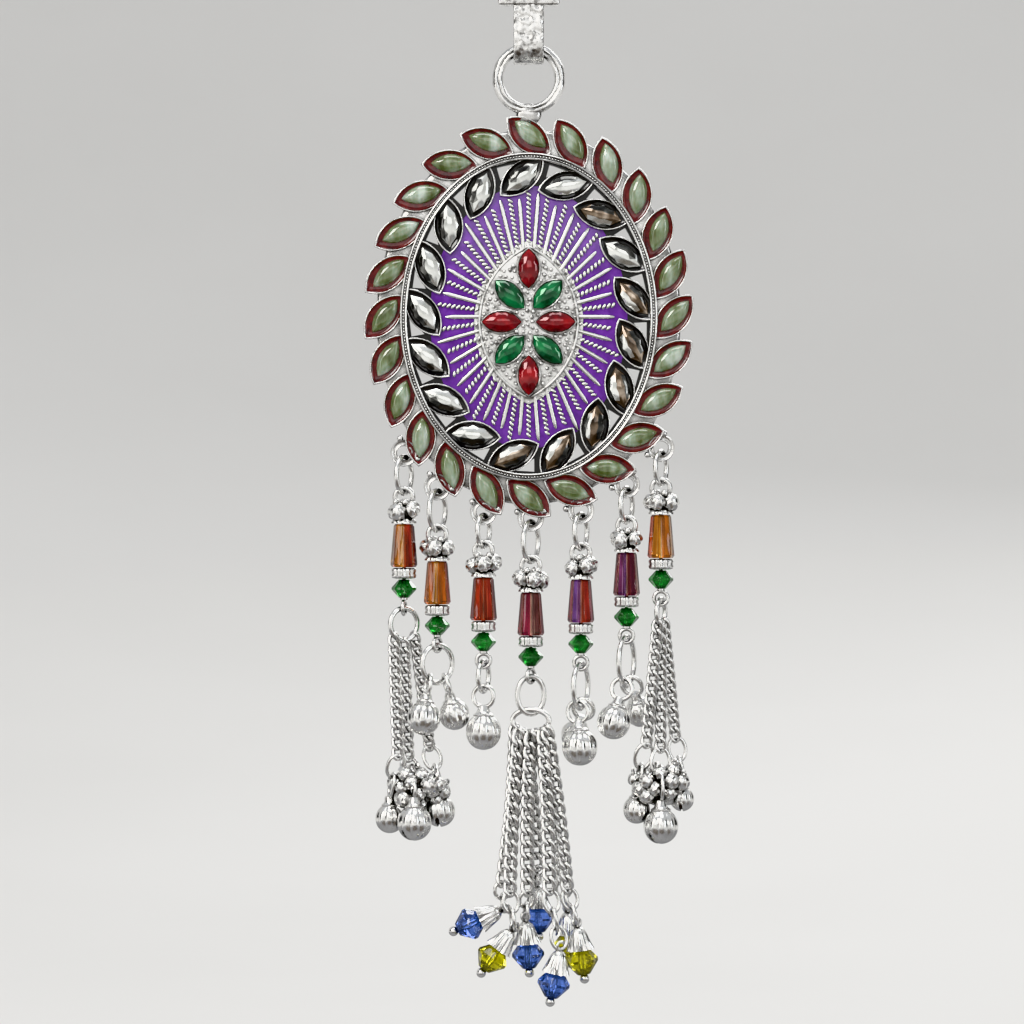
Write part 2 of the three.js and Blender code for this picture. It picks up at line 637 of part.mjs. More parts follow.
const pendant = new THREE.Group();
pendant.position.y = centreY;
ornament.add(pendant);
pendant.add(piece("medallion", makeMedallion(), silver));
for (const row of CENTRE_STONES) {
  pendant.add(piece(`centre_stone_${row.name}`, makeCentreStone(row), stoneMaterial(row.colour)));
}
for (const drop of DROPS) {
  const hanging = new THREE.Group();
  hanging.position.set(drop.x, drop.y, 0);
  pendant.add(hanging);
  hanging.add(
    piece(`${drop.name}_string`, makeString(drop), silver),
    piece(`${drop.name}_crystal`, makeBead(drop), stoneMaterial(drop.glass)),
    piece(`${drop.name}_bicone`, solid(makeBicone(BICONE, stringHeights(drop).bicone)), stoneMaterial(GREEN)),
  );
  const row = BELL_DROPS[drop.name];
  for (const bell of row ? row.bells : []) {
    hanging.add(piece(`${drop.name}_bell_${bell.name}`, makeBell(drop, row, bell), silver));
  }
}
for (const row of SIDE_TASSELS) {
  pendant.add(piece(`${DROPS[row.drop].name}_tassel`, makeSideTassel(row), silver));
}
pendant.add(piece("centre_tassel", makeTassel(), silver));
for (const strand of STRANDS) {
  const bead = placeTip(makeBicone(TIP_BEAD, TIP_BEAD.height / 2), strand);
  pendant.add(piece(`tassel_tip_${strand.name}`, bead, stoneMaterial(strand.colour)));
}

export default ornament;
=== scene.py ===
import json
import math
import random

import bmesh
import bpy
import numpy as np
from mathutils import Matrix, Vector, noise


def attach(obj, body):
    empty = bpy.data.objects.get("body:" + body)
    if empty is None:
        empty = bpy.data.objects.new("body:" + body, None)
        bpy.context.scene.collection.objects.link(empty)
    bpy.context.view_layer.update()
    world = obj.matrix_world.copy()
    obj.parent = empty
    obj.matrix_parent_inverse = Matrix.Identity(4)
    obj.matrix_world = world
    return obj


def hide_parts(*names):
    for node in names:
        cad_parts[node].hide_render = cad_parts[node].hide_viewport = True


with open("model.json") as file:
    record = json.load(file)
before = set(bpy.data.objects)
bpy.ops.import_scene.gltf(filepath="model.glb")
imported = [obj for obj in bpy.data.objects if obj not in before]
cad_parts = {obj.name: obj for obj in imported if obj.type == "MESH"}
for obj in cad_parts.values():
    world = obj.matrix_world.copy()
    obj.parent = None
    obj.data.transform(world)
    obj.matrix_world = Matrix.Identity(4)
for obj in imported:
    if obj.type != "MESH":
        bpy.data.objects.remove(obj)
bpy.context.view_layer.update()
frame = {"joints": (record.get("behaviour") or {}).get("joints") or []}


# Studio: the camera looks square at the medallion's face, and the ornament hangs clear of a pale seamless
# floor that sweeps up all round it. Softboxes light it, and cloth screens that only the polished metal and
# the glass see give it contrast.
VIEW_DISTANCE = 0.62
VIEW_WIDTH = 0.1905
VIEW_CENTRE = (-0.0031, -0.1136)
SENSOR_MM = 36.0
ORNAMENT_MIDDLE = (0, 0, -0.11)
WARM_WHITE = (1.0, 0.98, 0.95)
COOL_WHITE = (0.94, 0.97, 1.0)
AIR_COLOUR = (0.95, 0.97, 1.0, 1)
AIR_STRENGTH = 0.6

camera_data = bpy.data.cameras.new("camera")
camera_data.sensor_width = SENSOR_MM
camera_data.lens = SENSOR_MM * VIEW_DISTANCE / VIEW_WIDTH
camera_data.clip_start = 0.01
camera = bpy.data.objects.new("camera", camera_data)
camera.location = (VIEW_CENTRE[0], -VIEW_DISTANCE, VIEW_CENTRE[1])
camera.rotation_euler = (math.pi / 2, 0, 0)
bpy.context.scene.collection.objects.link(camera)
bpy.context.scene.camera = camera
bpy.context.scene.view_settings.view_transform = "Khronos PBR Neutral"


def softbox(name, place, width, height, watts, colour=(1, 1, 1)):
    data = bpy.data.lights.new(name, "AREA")
    data.shape = "RECTANGLE"
    data.size = width
    data.size_y = height
    data.energy = watts
    data.color = colour
    light = bpy.data.objects.new(name, data)
    light.location = place
    aim = Vector(ORNAMENT_MIDDLE) - Vector(place)
    light.rotation_euler = aim.to_track_quat("-Z", "Y").to_euler()
    bpy.context.scene.collection.objects.link(light)


softbox("key_light", (-0.55, -0.75, 0.45), 0.4, 0.4, 6.0, WARM_WHITE)
softbox("front_light", (0.1, -1.25, 0.3), 0.8, 0.4, 1.5)
softbox("fill_light", (0.86, -0.52, 0.05), 0.2, 0.7, 1.8, COOL_WHITE)
softbox("side_light", (-0.78, -0.6, -0.1), 0.15, 0.7, 1.2, WARM_WHITE)
softbox("top_light", (0.0, -0.25, 0.8), 0.6, 0.4, 3.2)
softbox("back_light", (0.3, 0.8, 0.4), 0.4, 0.4, 3.5)

world = bpy.data.worlds.new("studio_air")
world.use_nodes = True
world.node_tree.nodes["Background"].inputs["Color"].default_value = AIR_COLOUR
world.node_tree.nodes["Background"].inputs["Strength"].default_value = AIR_STRENGTH
bpy.context.scene.world = world


class Shape:
    """Points in millimetres, faces, and the number of the finish that each face has."""

    def __init__(self, points, faces, marks=None):
        self.points = np.asarray(points, float)
        self.faces = faces
        self.marks = marks or [0] * len(faces)


def bridged(rows):
    """Faces between neighbouring rows of point numbers. A row of one point is a pole."""
    faces = []
    for low, high in zip(rows, rows[1:]):
        count = max(len(low), len(high))
        for i in range(count):
            j = (i + 1) % count
            if len(low) == 1:
                faces.append((low[0], high[j], high[i]))
            elif len(high) == 1:
                faces.append((low[i], low[j], high[0]))
            else:
                faces.append((low[i], low[j], high[j], high[i]))
    return faces


def turned(profile, sides, flute=None):
    """A profile of (radius, height) rows turned about the upright axis, its radius scaled by the flute."""
    points, rows = [], []
    for radius, height in profile:
        if radius < 1e-6:
            rows.append([len(points)])
            points.append((0, height, 0))
            continue
        rows.append(list(range(len(points), len(points) + sides)))
        for i in range(sides):
            angle = 2 * math.pi * i / sides
            size = radius * (flute(angle, height) if flute else 1)
            points.append((size * math.sin(angle), height, size * math.cos(angle)))
    faces = bridged(rows)
    for row in (rows[0], rows[-1]):
        if len(row) > 1:
            faces.append(tuple(row))
    return Shape(points, faces)


def add_mesh(name, shape, finishes, crease=40):
    """A Blender object of a shape, stood upright in metres, smooth up to the crease angle."""
    x, y, z = shape.points.T / 1000
    mesh = bpy.data.meshes.new(name)
    mesh.from_pydata(np.stack([x, -z, y], 1).tolist(), [], shape.faces)
    mesh.polygons.foreach_set("material_index", shape.marks)
    for finish in finishes:
        mesh.materials.append(finish)
    build = bmesh.new()
    build.from_mesh(mesh)
    bmesh.ops.recalc_face_normals(build, faces=build.faces)
    build.to_mesh(mesh)
    build.free()
    mesh.shade_smooth()
    mesh.set_sharp_from_angle(angle=math.radians(crease))
    obj = bpy.data.objects.new(name, mesh)
    bpy.context.scene.collection.objects.link(obj)
    return obj


def new_finish(name, colour, **sockets):
    """A material whose constant values sit on the shader's own sockets."""
    material = bpy.data.materials.new(name)
    material.use_nodes = True
    shader = material.node_tree.nodes["Principled BSDF"]
    shader.inputs["Base Color"].default_value = (*colour, 1)
    for socket, value in sockets.items():
        shader.inputs[socket.replace("_", " ").title().replace("Ior", "IOR")].default_value = value
    return material


def surface_noise(material, scale, detail=4.0, stretch=(1, 1, 1)):
    """Noise over the piece's own metres, as a node that the colour, gloss or relief can use."""
    nodes, links = material.node_tree.nodes, material.node_tree.links
    where = nodes.new("ShaderNodeTexCoord")
    turn = nodes.new("ShaderNodeMapping")
    turn.inputs["Scale"].default_value = stretch
    links.new(where.outputs["Object"], turn.inputs["Vector"])
    grain = nodes.new("ShaderNodeTexNoise")
    grain.inputs["Scale"].default_value = scale
    grain.inputs["Detail"].default_value = detail
    links.new(turn.outputs["Vector"], grain.inputs["Vector"])
    return grain


NOISE_LOW = 0.3
NOISE_SPAN = 0.4


def mottle(material, colours, *grain):
    """Base colour that wanders through a few colours with noise of the given scale, detail and stretch."""
    patches = surface_noise(material, *grain)
    nodes, links = material.node_tree.nodes, material.node_tree.links
    ramp = nodes.new("ShaderNodeValToRGB")
    while len(ramp.color_ramp.elements) < len(colours):
        ramp.color_ramp.elements.new(0.5)
    for i, (element, colour) in enumerate(zip(ramp.color_ramp.elements, colours)):
        element.position = NOISE_LOW + NOISE_SPAN * i / (len(colours) - 1)
        element.color = (*colour, 1)
    links.new(patches.outputs["Fac"], ramp.inputs["Fac"])
    links.new(ramp.outputs["Color"], nodes["Principled BSDF"].inputs["Base Color"])


FLOOR_Z = -255.0
FLOOR_INNER = 200.0
FLOOR_FLAT = 450.0
FLOOR_SIDES = 64
COVE_RADIUS = 1700.0
COVE_STEPS = 24

floor_finish = new_finish("pale_floor", (0.46, 0.455, 0.445), roughness=0.85, emission_strength=0.42,
                          emission_color=(0.62, 0.615, 0.6, 1))
mottle(floor_finish, [(0.44, 0.435, 0.425), (0.48, 0.475, 0.465)], 3.0)
cove_rows = [(0, FLOOR_Z), (FLOOR_INNER, FLOOR_Z)]
for step in range(COVE_STEPS + 1):
    sweep = math.pi / 2 * step / COVE_STEPS
    rise = COVE_RADIUS * (1 - math.cos(sweep))
    cove_rows.append((FLOOR_FLAT + COVE_RADIUS * math.sin(sweep), FLOOR_Z + rise))
floor_shape = turned(cove_rows, FLOOR_SIDES)
floor_shape.faces.pop()
floor_shape.marks.pop()
floor = add_mesh("floor", floor_shape, [floor_finish], crease=80)


def cloth(name, weave, colours):
    material = new_finish(name, colours[0], roughness=0.9)
    mottle(material, colours, weave)
    return material


dark_cloth = cloth("dark_cloth", 6.0, [(0.015, 0.015, 0.016), (0.03, 0.03, 0.032)])
grey_cloth = cloth("grey_cloth", 6.0, [(0.17, 0.17, 0.174), (0.29, 0.29, 0.295)])
brown_cloth = cloth("brown_cloth", 9.0, [(0.05, 0.042, 0.036), (0.17, 0.145, 0.125)])


def screen(name, material, place, width, height, aim=ORNAMENT_MIDDLE):
    """A cloth that shows only in the metal and the glass, facing the ornament or another point."""
    right, top = width / 2, height / 2
    corners = [(-right, -top, 0), (right, -top, 0), (right, top, 0), (-right, top, 0)]
    mesh = bpy.data.meshes.new(name)
    mesh.from_pydata(corners, [], [(0, 1, 2, 3)])
    mesh.materials.append(material)
    hung = bpy.data.objects.new(name, mesh)
    hung.location = place
    hung.rotation_euler = (Vector(aim) - Vector(place)).to_track_quat("Z", "Y").to_euler()
    hung.visible_camera = False
    hung.visible_diffuse = False
    hung.visible_shadow = False
    bpy.context.scene.collection.objects.link(hung)


screen("left_screen", dark_cloth, (-0.95, -0.25, -0.1), 0.8, 0.9)
screen("right_screen", dark_cloth, (0.95, -0.05, -0.05), 0.9, 0.9)
screen("wide_screen", grey_cloth, (0.0, -0.08, -0.252), 0.62, 0.62, (0.0, -0.08, 1.0))
screen("small_screen", brown_cloth, (0.0, -0.2, -0.249), 0.24, 0.24, (0.0, -0.2, 1.0))


# Strap hook: one flat silver strap, hammered on its outside, bent into a closed loop through the medallion's
# ring and an open hook above it, with a cross bar soldered over the join.
STRAP_WIDTH = 5.6
STRAP_THICKNESS = 1.0
STRAP_CORNER = 0.28
STRAP_STEPS = {"hook": 28, "bend": 34, "front": 80, "back": 34, "across": 18}
SLOT_HALF = 2.6
SEAT_BELOW_PIVOT = 1.4
HOOK_ENTRY = 5.8
BAR = {"width": 11.4, "height": 3.0, "depth": 2.4, "above_pivot": 8.2, "proud": 0.15, "bevel": 0.45}
BRIDGE = {"inset": 0.4, "lap": 0.6, "bevel": 0.3}
STRAP_END_BELOW_BAR_TOP = 0.3
HAMMER_DENT = {"size": 0.9, "depth": 0.5, "edge": 0.7, "pits": 2.6, "pit_depth": 0.1}
PIVOT_Y = frame["joints"][0]["pos_m"][2] * 1000


def frames_along(path, closed, side):
    """Directions across a path: a fixed side for a flat path, or one carried along without twist."""
    if closed:
        travel = np.roll(path, -1, 0) - np.roll(path, 1, 0)
    else:
        travel = np.gradient(path, axis=0)
    travel /= np.linalg.norm(travel, axis=1)[:, None]
    if side is not None:
        across = np.tile(np.asarray(side, float), (len(path), 1))
        return np.cross(travel, across), across
    first = np.cross(travel[0], (0.0, 0.0, 1.0))
    if np.linalg.norm(first) < 0.1:
        first = np.cross(travel[0], (1.0, 0.0, 0.0))
    normals = [first / np.linalg.norm(first)]
    for heading in travel[1:]:
        carried = normals[-1] - heading * np.dot(normals[-1], heading)
        normals.append(carried / np.linalg.norm(carried))
    normals = np.array(normals)
    return normals, np.cross(travel, normals)


def swept(path, section, closed=False, side=None, sizes=None):
    """A section of (outward, sideways) points carried along a path, with flat ends on an open one."""
    path = np.asarray(path, float)
    section = np.asarray(section, float)
    outward, sideways = frames_along(path, closed, side)
    sizes = np.ones(len(path)) if sizes is None else np.asarray(sizes, float)
    rings = (path[:, None] + sizes[:, None, None] * (section[None, :, :1] * outward[:, None]
             + section[None, :, 1:] * sideways[:, None]))
    count = len(section)
    rows = [list(range(i * count, (i + 1) * count)) for i in range(len(path))]
    faces = bridged(rows + rows[:1] if closed else rows)
    if not closed:
        faces += [tuple(rows[0]), tuple(rows[-1])]
    return Shape(rings.reshape(-1, 3), faces)


def rounded_rectangle(height, width, corner, steps=3, across=1):
    """Section of a flat bar: points (outward, sideways) round a rectangle with rounded corners."""
    points = []
    for k, (up, right) in enumerate(((1, 1), (-1, 1), (-1, -1), (1, -1))):
        for i in range(steps + 1):
            angle = math.pi / 2 * (i / steps)
            out = (math.cos(angle), math.sin(angle)) if k % 2 == 0 else (math.sin(angle), math.cos(angle))
            points.append((up * (height / 2 - corner + corner * out[0]),
                           right * (width / 2 - corner + corner * out[1])))
        if k % 2 == 1 and across > 1:
            far = -right * (width / 2 - corner)
            near = right * (width / 2 - corner)
            points += [(points[-1][0], near + (far - near) * i / across) for i in range(1, across)]
    return points


def block(width, height, depth, bevel):
    """A box about the origin with bevelled edges."""
    build = bmesh.new()
    bmesh.ops.create_cube(build, size=1.0)
    bmesh.ops.scale(build, vec=(width, height, depth), verts=build.verts)
    bmesh.ops.bevel(build, geom=build.edges[:], offset=bevel, segments=3, profile=0.5, affect="EDGES")
    build.verts.index_update()
    shape = Shape([v.co[:] for v in build.verts], [tuple(v.index for v in f.verts) for f in build.faces])
    build.free()
    return shape


def moved(shape, x=0.0, y=0.0, z=0.0, turn=None):
    """A copy of a shape, turned by a 3x3 matrix and then shifted."""
    points = shape.points if turn is None else shape.points @ np.array(turn).T
    return Shape(points + (x, y, z), shape.faces, shape.marks)


def joined(shapes):
    points, faces, marks, start = [], [], [], 0
    for shape in shapes:
        points.append(shape.points)
        faces += [tuple(i + start for i in face) for face in shape.faces]
        marks += shape.marks
        start += len(shape.points)
    return Shape(np.concatenate(points), faces, marks)


def vary_gloss(material, low, high, *grain):
    """Roughness that wanders between two values with noise."""
    patches = surface_noise(material, *grain)
    nodes, links = material.node_tree.nodes, material.node_tree.links
    spread = nodes.new("ShaderNodeMapRange")
    spread.inputs["From Min"].default_value = NOISE_LOW
    spread.inputs["From Max"].default_value = NOISE_LOW + NOISE_SPAN
    spread.inputs["To Min"].default_value = low
    spread.inputs["To Max"].default_value = high
    links.new(patches.outputs["Fac"], spread.inputs["Value"])
    links.new(spread.outputs["Result"], nodes["Principled BSDF"].inputs["Roughness"])


def add_relief(material, strength, depth, *grain):
    """Fine unevenness from noise, its depth in metres."""
    patches = surface_noise(material, *grain)
    nodes, links = material.node_tree.nodes, material.node_tree.links
    bump = nodes.new("ShaderNodeBump")
    bump.inputs["Strength"].default_value = strength
    bump.inputs["Distance"].default_value = depth
    links.new(patches.outputs["Fac"], bump.inputs["Height"])
    links.new(bump.outputs["Normal"], nodes["Principled BSDF"].inputs["Normal"])


PLATE_COLOUR = (0.84, 0.835, 0.82)
POLISH_REACH = {"distance": 0.001, "samples": 3, "dark": 0.3, "bright": 0.92}
FINE_STAINS = {"grain": 900.0, "dark": 0.36, "clean": 0.5}


def silver_finish(name, tarnish, polish, grain_depth, stain=0.0, stains=FINE_STAINS):
    """Bright silver plate with dark tarnish where tools and cloths don't reach, and stains elsewhere."""
    material = new_finish(name, PLATE_COLOUR, metallic=1.0, roughness=sum(polish) / 2)
    nodes, links = material.node_tree.nodes, material.node_tree.links
    reach = nodes.new("ShaderNodeAmbientOcclusion")
    reach.samples = POLISH_REACH["samples"]
    reach.inputs["Distance"].default_value = POLISH_REACH["distance"]
    ramp = nodes.new("ShaderNodeValToRGB")
    ramp.color_ramp.elements[0].position = POLISH_REACH["dark"]
    ramp.color_ramp.elements[0].color = (*tarnish, 1)
    ramp.color_ramp.elements[1].position = POLISH_REACH["bright"]
    ramp.color_ramp.elements[1].color = (*PLATE_COLOUR, 1)
    clean = nodes.new("ShaderNodeMapRange")
    clean.inputs["From Min"].default_value = stains["dark"]
    clean.inputs["From Max"].default_value = stains["clean"]
    clean.inputs["To Min"].default_value = 1 - stain
    links.new(surface_noise(material, stains["grain"], 3.0).outputs["Fac"], clean.inputs["Value"])
    worn = nodes.new("ShaderNodeMath")
    worn.operation = "MULTIPLY"
    links.new(reach.outputs["AO"], worn.inputs[0])
    links.new(clean.outputs["Result"], worn.inputs[1])
    links.new(worn.outputs["Value"], ramp.inputs["Fac"])
    links.new(ramp.outputs["Color"], nodes["Principled BSDF"].inputs["Base Color"])
    vary_gloss(material, *polish, 700.0)
    add_relief(material, 0.5, grain_depth, 2600.0, 5.0)
    return material


hammered_silver = silver_finish("hammered_silver", (0.07, 0.065, 0.06), (0.2, 0.36), 0.00006, 0.5)


def strap_route():
    """Middle line of the strap from the hook's open end over the top, down the front and up the back."""
    reach = SLOT_HALF + STRAP_THICKNESS / 2
    bar_top = PIVOT_Y + BAR["above_pivot"] + BAR["height"]
    top = -SLOT_HALF
    bottom = PIVOT_Y - SEAT_BELOW_PIVOT + SLOT_HALF
    route = [(0, y, -reach) for y in np.linspace(bar_top + HOOK_ENTRY, top, STRAP_STEPS["hook"])]
    for angle in np.linspace(math.pi, 0, STRAP_STEPS["bend"])[1:]:
        route.append((0, top + reach * math.sin(angle), reach * math.cos(angle)))
    route += [(0, y, reach) for y in np.linspace(top, bottom, STRAP_STEPS["front"])[1:]]
    for angle in np.linspace(0, -math.pi, STRAP_STEPS["bend"])[1:]:
        route.append((0, bottom + reach * math.sin(angle), reach * math.cos(angle)))
    strap_end = bar_top - STRAP_END_BELOW_BAR_TOP
    route += [(0, y, -reach) for y in np.linspace(bottom, strap_end, STRAP_STEPS["back"])[1:]]
    return route


def hammered(shape, low, high):
    """Shallow round dents and fine pits over the outside of the strap, straight and bent parts alike."""
    for point in shape.points:
        out = np.array((0, point[1] - min(max(point[1], low), high), point[2]))
        reach = np.linalg.norm(out)
        if reach < SLOT_HALF + STRAP_THICKNESS / 2:
            continue
        gap = noise.voronoi(Vector(point) / HAMMER_DENT["size"])[0][0]
        pits = HAMMER_DENT["pit_depth"] * noise.noise(Vector(point) * HAMMER_DENT["pits"])
        point -= out / reach * (HAMMER_DENT["depth"] * (HAMMER_DENT["edge"] - gap) + pits)
    return shape


strap_section = rounded_rectangle(STRAP_THICKNESS, STRAP_WIDTH, STRAP_CORNER, across=STRAP_STEPS["across"])
strap = swept(strap_route(), strap_section, side=(1, 0, 0))
strap = hammered(strap, PIVOT_Y - SEAT_BELOW_PIVOT + SLOT_HALF, -SLOT_HALF)
bar_y = PIVOT_Y + BAR["above_pivot"] + BAR["height"] / 2
bar_front = SLOT_HALF + STRAP_THICKNESS + BAR["proud"]
cross_bar = block(BAR["width"], BAR["height"], BAR["depth"], BAR["bevel"])
cross_bar = moved(cross_bar, y=bar_y, z=bar_front - BAR["depth"] / 2)
bridge = block(STRAP_WIDTH - BRIDGE["inset"], BAR["height"], 2 * SLOT_HALF + BRIDGE["lap"], BRIDGE["bevel"])
bridge = moved(bridge, y=bar_y)
hook = add_mesh("strap_hook", joined([strap, cross_bar, bridge]), [hammered_silver], crease=60)
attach(hook, "hook")
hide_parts("bail_hook")


# Medallion casting: the oval back plate with its small pierced gaps, the raised rim with a beaded groove, the
# hanging ring with its soldered foot and the seven lugs. It is one silver-plated casting, flat behind.
RING = {"radius": 5.77, "wire": 1.03, "above_centre": 44.3, "flattened": (0.97, 0.94)}
RING_GROOVE = {"depth": 0.34, "at": 0.55 * math.pi, "width": 0.26}
RING_WEAR = [(0.09, 0.7), (0.05, 2.3)]
RING_FOOT = {"half_sizes": (2.4, 2.04, 0.95), "below_ring": 0.8}
PIVOT_REACH = math.sqrt(RING["radius"] ** 2 - (STRAP_WIDTH / 2) ** 2)
CENTRE_Y = PIVOT_Y - PIVOT_REACH - RING["above_centre"]
BACK = -1.2
PLATE_INSET = 0.5
RIM = {"across": 23.95, "up": 30.5, "band": 1.35, "groove": 0.95, "beads": 300, "bead": 0.24}
RIM_PROFILE = [(0.0, BACK + 0.08), (0.0, 1.12), (0.1, 1.26), (0.22, 1.3), (0.36, 1.24),
               (0.44, RIM["groove"])]
WEB_PROFILE = [(-0.6, BACK + 0.05), (4.4, BACK + 0.05), (4.4, -0.4), (4.2, -0.1), (3.8, 0.1), (2.2, 0.2),
               (-0.6, 0.4)]
PIERCED_GAP = [(-4.5, 2.1), (-4.0, -0.3), (-1.0, 2.6)]
GAP_ENDS = (BACK - 1, 1)
CRYSTAL = {"count": 17, "across": 19.6, "up": 26.1, "length": 10.9, "width": 5.6, "tilt": 36, "lead": -0.15}
LUG_RADIUS = 1.9
LUG_PROFILE = [(-0.6, -0.8), (-0.6, 0.3), (-0.46, 0.5), (-0.24, 0.46), (-0.1, 0.34)]
LUG_BEAD = {"radius": 0.62, "inward": 1.2, "sideways": 2.5, "height": 0.1}
LUGS = [(-23.2, -25.3), (-17.0, -31.6), (-8.4, -36.2), (0.4, -37.4), (9.7, -36.0), (18.2, -31.2),
        (24.6, -24.4)]
CLOUDY_STAINS = {"grain": 260.0, "dark": 0.28, "clean": 0.72}

cast_silver = silver_finish("cast_silver", (0.05, 0.047, 0.043), (0.16, 0.32), 0.00005, 0.3, CLOUDY_STAINS)


def pendant_piece(name, shapes, finishes, crease=40, nodes=()):
    """A piece of the hanging pendant, drawn from the medallion's centre."""
    shape = moved(joined(shapes), y=CENTRE_Y)
    obj = add_mesh(name, shape, finishes, crease)
    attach(obj, "pendant")
    if nodes:
        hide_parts(*nodes)


def turn_about(axis, angle):
    return np.array(Matrix.Rotation(math.radians(angle), 3, axis))


def places_round(across, up, count, lead=0.0):
    """Places at equal spacing along an oval, clockwise from the top, with the heading in degrees."""
    fine = np.linspace(0, 2 * math.pi, 1441)
    x, y = across * np.sin(fine), up * np.cos(fine)
    run = np.concatenate([[0], np.cumsum(np.hypot(np.diff(x), np.diff(y)))])
    places = []
    for i in range(count):
        angle = np.interp(((i + lead) / count % 1) * run[-1], run, fine)
        heading = math.degrees(math.atan2(-up * math.sin(angle), across * math.cos(angle)))
        places.append((across * math.sin(angle), up * math.cos(angle), heading))
    return places


def oval_row(across, up, height, steps=144):
    angles = np.linspace(0, 2 * math.pi, steps, endpoint=False)
    return np.stack([across * np.cos(angles), up * np.sin(angles), np.full(steps, height)], 1)


def lofted(rows, capped=(True, True)):
    """A skin through rows of points with equal counts, with flat ends where capped."""
    count = len(rows[0])
    numbers = [list(range(i * count, (i + 1) * count)) for i in range(len(rows))]
    faces = bridged(numbers)
    faces += [tuple(row) for row, cap in zip((numbers[0], numbers[-1]), capped) if cap]
    return Shape(np.concatenate(rows), faces)


def ball(x, y, z, radius, sides=10):
    rows = [(radius * math.sin(a), -radius * math.cos(a)) for a in np.linspace(0, math.pi, sides // 2 + 2)]
    return moved(turned(rows, sides), x, y, z)


def ring_route(across, up, steps):
    """Points round an oval ring that faces the viewer, from its bottom."""
    angles = np.linspace(0, 2 * math.pi, steps, endpoint=False)
    return np.stack([across * np.sin(angles), -up * np.cos(angles), np.zeros(steps)], 1)


def mirrored(rows):
    """Half a section, followed by its mirror image."""
    return rows + [(-out, height) for out, height in reversed(rows)]


def cut_through(shape, cutter):
    """A shape with a cutter's solids taken out of it."""
    plate = add_mesh("plate_blank", shape, [])
    knife = add_mesh("plate_knife", cutter, [])
    cut = plate.modifiers.new("cut", "BOOLEAN")
    cut.object = knife
    cut.solver = "EXACT"
    depsgraph = bpy.context.evaluated_depsgraph_get()
    mesh = bpy.data.meshes.new_from_object(plate.evaluated_get(depsgraph))
    points = [(v.co.x * 1000, v.co.z * 1000, -v.co.y * 1000) for v in mesh.vertices]
    made = Shape(points, [tuple(p.vertices) for p in mesh.polygons])
    for obj in (plate, knife):
        bpy.data.objects.remove(obj)
    return made


crystal_places = places_round(CRYSTAL["across"], CRYSTAL["up"], CRYSTAL["count"], CRYSTAL["lead"])
gap_cutters = []
for x, y, heading in crystal_places:
    prism = lofted([np.array([(along, out, z) for along, out in PIERCED_GAP]) for z in GAP_ENDS])
    gap_cutters.append(moved(prism, x, y, turn=turn_about("Z", heading)))
plate_size = (RIM["across"] - PLATE_INSET, RIM["up"] - PLATE_INSET)
plate = cut_through(lofted([oval_row(*plate_size, z) for z in (BACK, 0.0)]), joined(gap_cutters))
web_rows = [oval_row(RIM["across"] + out, RIM["up"] + out, z) for out, z in WEB_PROFILE]
web = lofted(web_rows, capped=(False, False))

half = RIM["band"] / 2
rim_path = oval_row(RIM["across"] - half, RIM["up"] - half, 0.0, 220)
rim_section = mirrored([(inset - half, height) for inset, height in RIM_PROFILE])
rim = swept(rim_path, rim_section, closed=True, side=(0, 0, 1))
beading = [ball(x, y, RIM["groove"] + 0.05, RIM["bead"], 8)
           for x, y, _ in places_round(RIM["across"] - half, RIM["up"] - half, RIM["beads"])]

ring_centre = np.array((0, RING["above_centre"], 0))
ring_section = []
for a in np.linspace(0, 2 * math.pi, 36, endpoint=False):
    groove = RING_GROOVE["depth"] * math.exp(-((a - RING_GROOVE["at"]) / RING_GROOVE["width"]) ** 2)
    size = RING["wire"] * (1 - groove)
    flat_out, flat_side = RING["flattened"]
    ring_section.append((flat_out * size * math.cos(a), flat_side * size * math.sin(a)))
ring_path = ring_route(RING["radius"], RING["radius"], 120) + ring_centre
hanging_ring = swept(ring_path, ring_section, closed=True, side=(0, 0, 1))
for point in hanging_ring.points:
    rough = sum(depth * noise.noise(Vector(point) * pitch) for depth, pitch in RING_WEAR)
    out = point - ring_centre
    point += out / np.linalg.norm(out) * rough + (0, 0, rough)
foot = ball(0, 0, 0, 1.0, 24)
foot.points = foot.points * RING_FOOT["half_sizes"]
foot = moved(foot, y=RING["above_centre"] - RING["radius"] - RING_FOOT["below_ring"])

lug = swept(ring_route(LUG_RADIUS, LUG_RADIUS, 40), mirrored(LUG_PROFILE), closed=True, side=(0, 0, 1))
lug_shapes = []
for x, y in LUGS:
    lug_shapes.append(moved(lug, x, y))
    out = math.atan2(y / RIM["up"], x / RIM["across"])
    for side in (-LUG_BEAD["sideways"], LUG_BEAD["sideways"]):
        bead_x = x - LUG_BEAD["inward"] * math.cos(out) - side * math.sin(out)
        bead_y = y - LUG_BEAD["inward"] * math.sin(out) + side * math.cos(out)
        lug_shapes.append(ball(bead_x, bead_y, LUG_BEAD["height"], LUG_BEAD["radius"], 12))

casting = [plate, web, rim, hanging_ring, foot, *beading, *lug_shapes]
pendant_piece("casting", casting, [cast_silver], nodes=["medallion"])


# Leaf border: twenty-four pointed cups swept round the rim, each a thin silver wall with maroon enamel fired
# inside it and a milky sage-green cabochon glued on top.
LEAF = {"count": 24, "across": 27.0, "up": 33.6, "length": 10.8, "width": 5.8, "tilt": -40}
LEAF_CUP = {"top": 0.85, "floor": 0.3, "foot": BACK + 0.02}
LEAF_ENAMEL = {"top": 0.71, "floor": 0.44}
CABOCHON = {"length": 7.7, "width": 3.4, "seat": 0.4, "rise": 1.25}
CABOCHON_SHIFT = {"x": 0.3, "y": 0.4, "stray": 0.1, "slew": 3}
POINT_RUN = 1.6


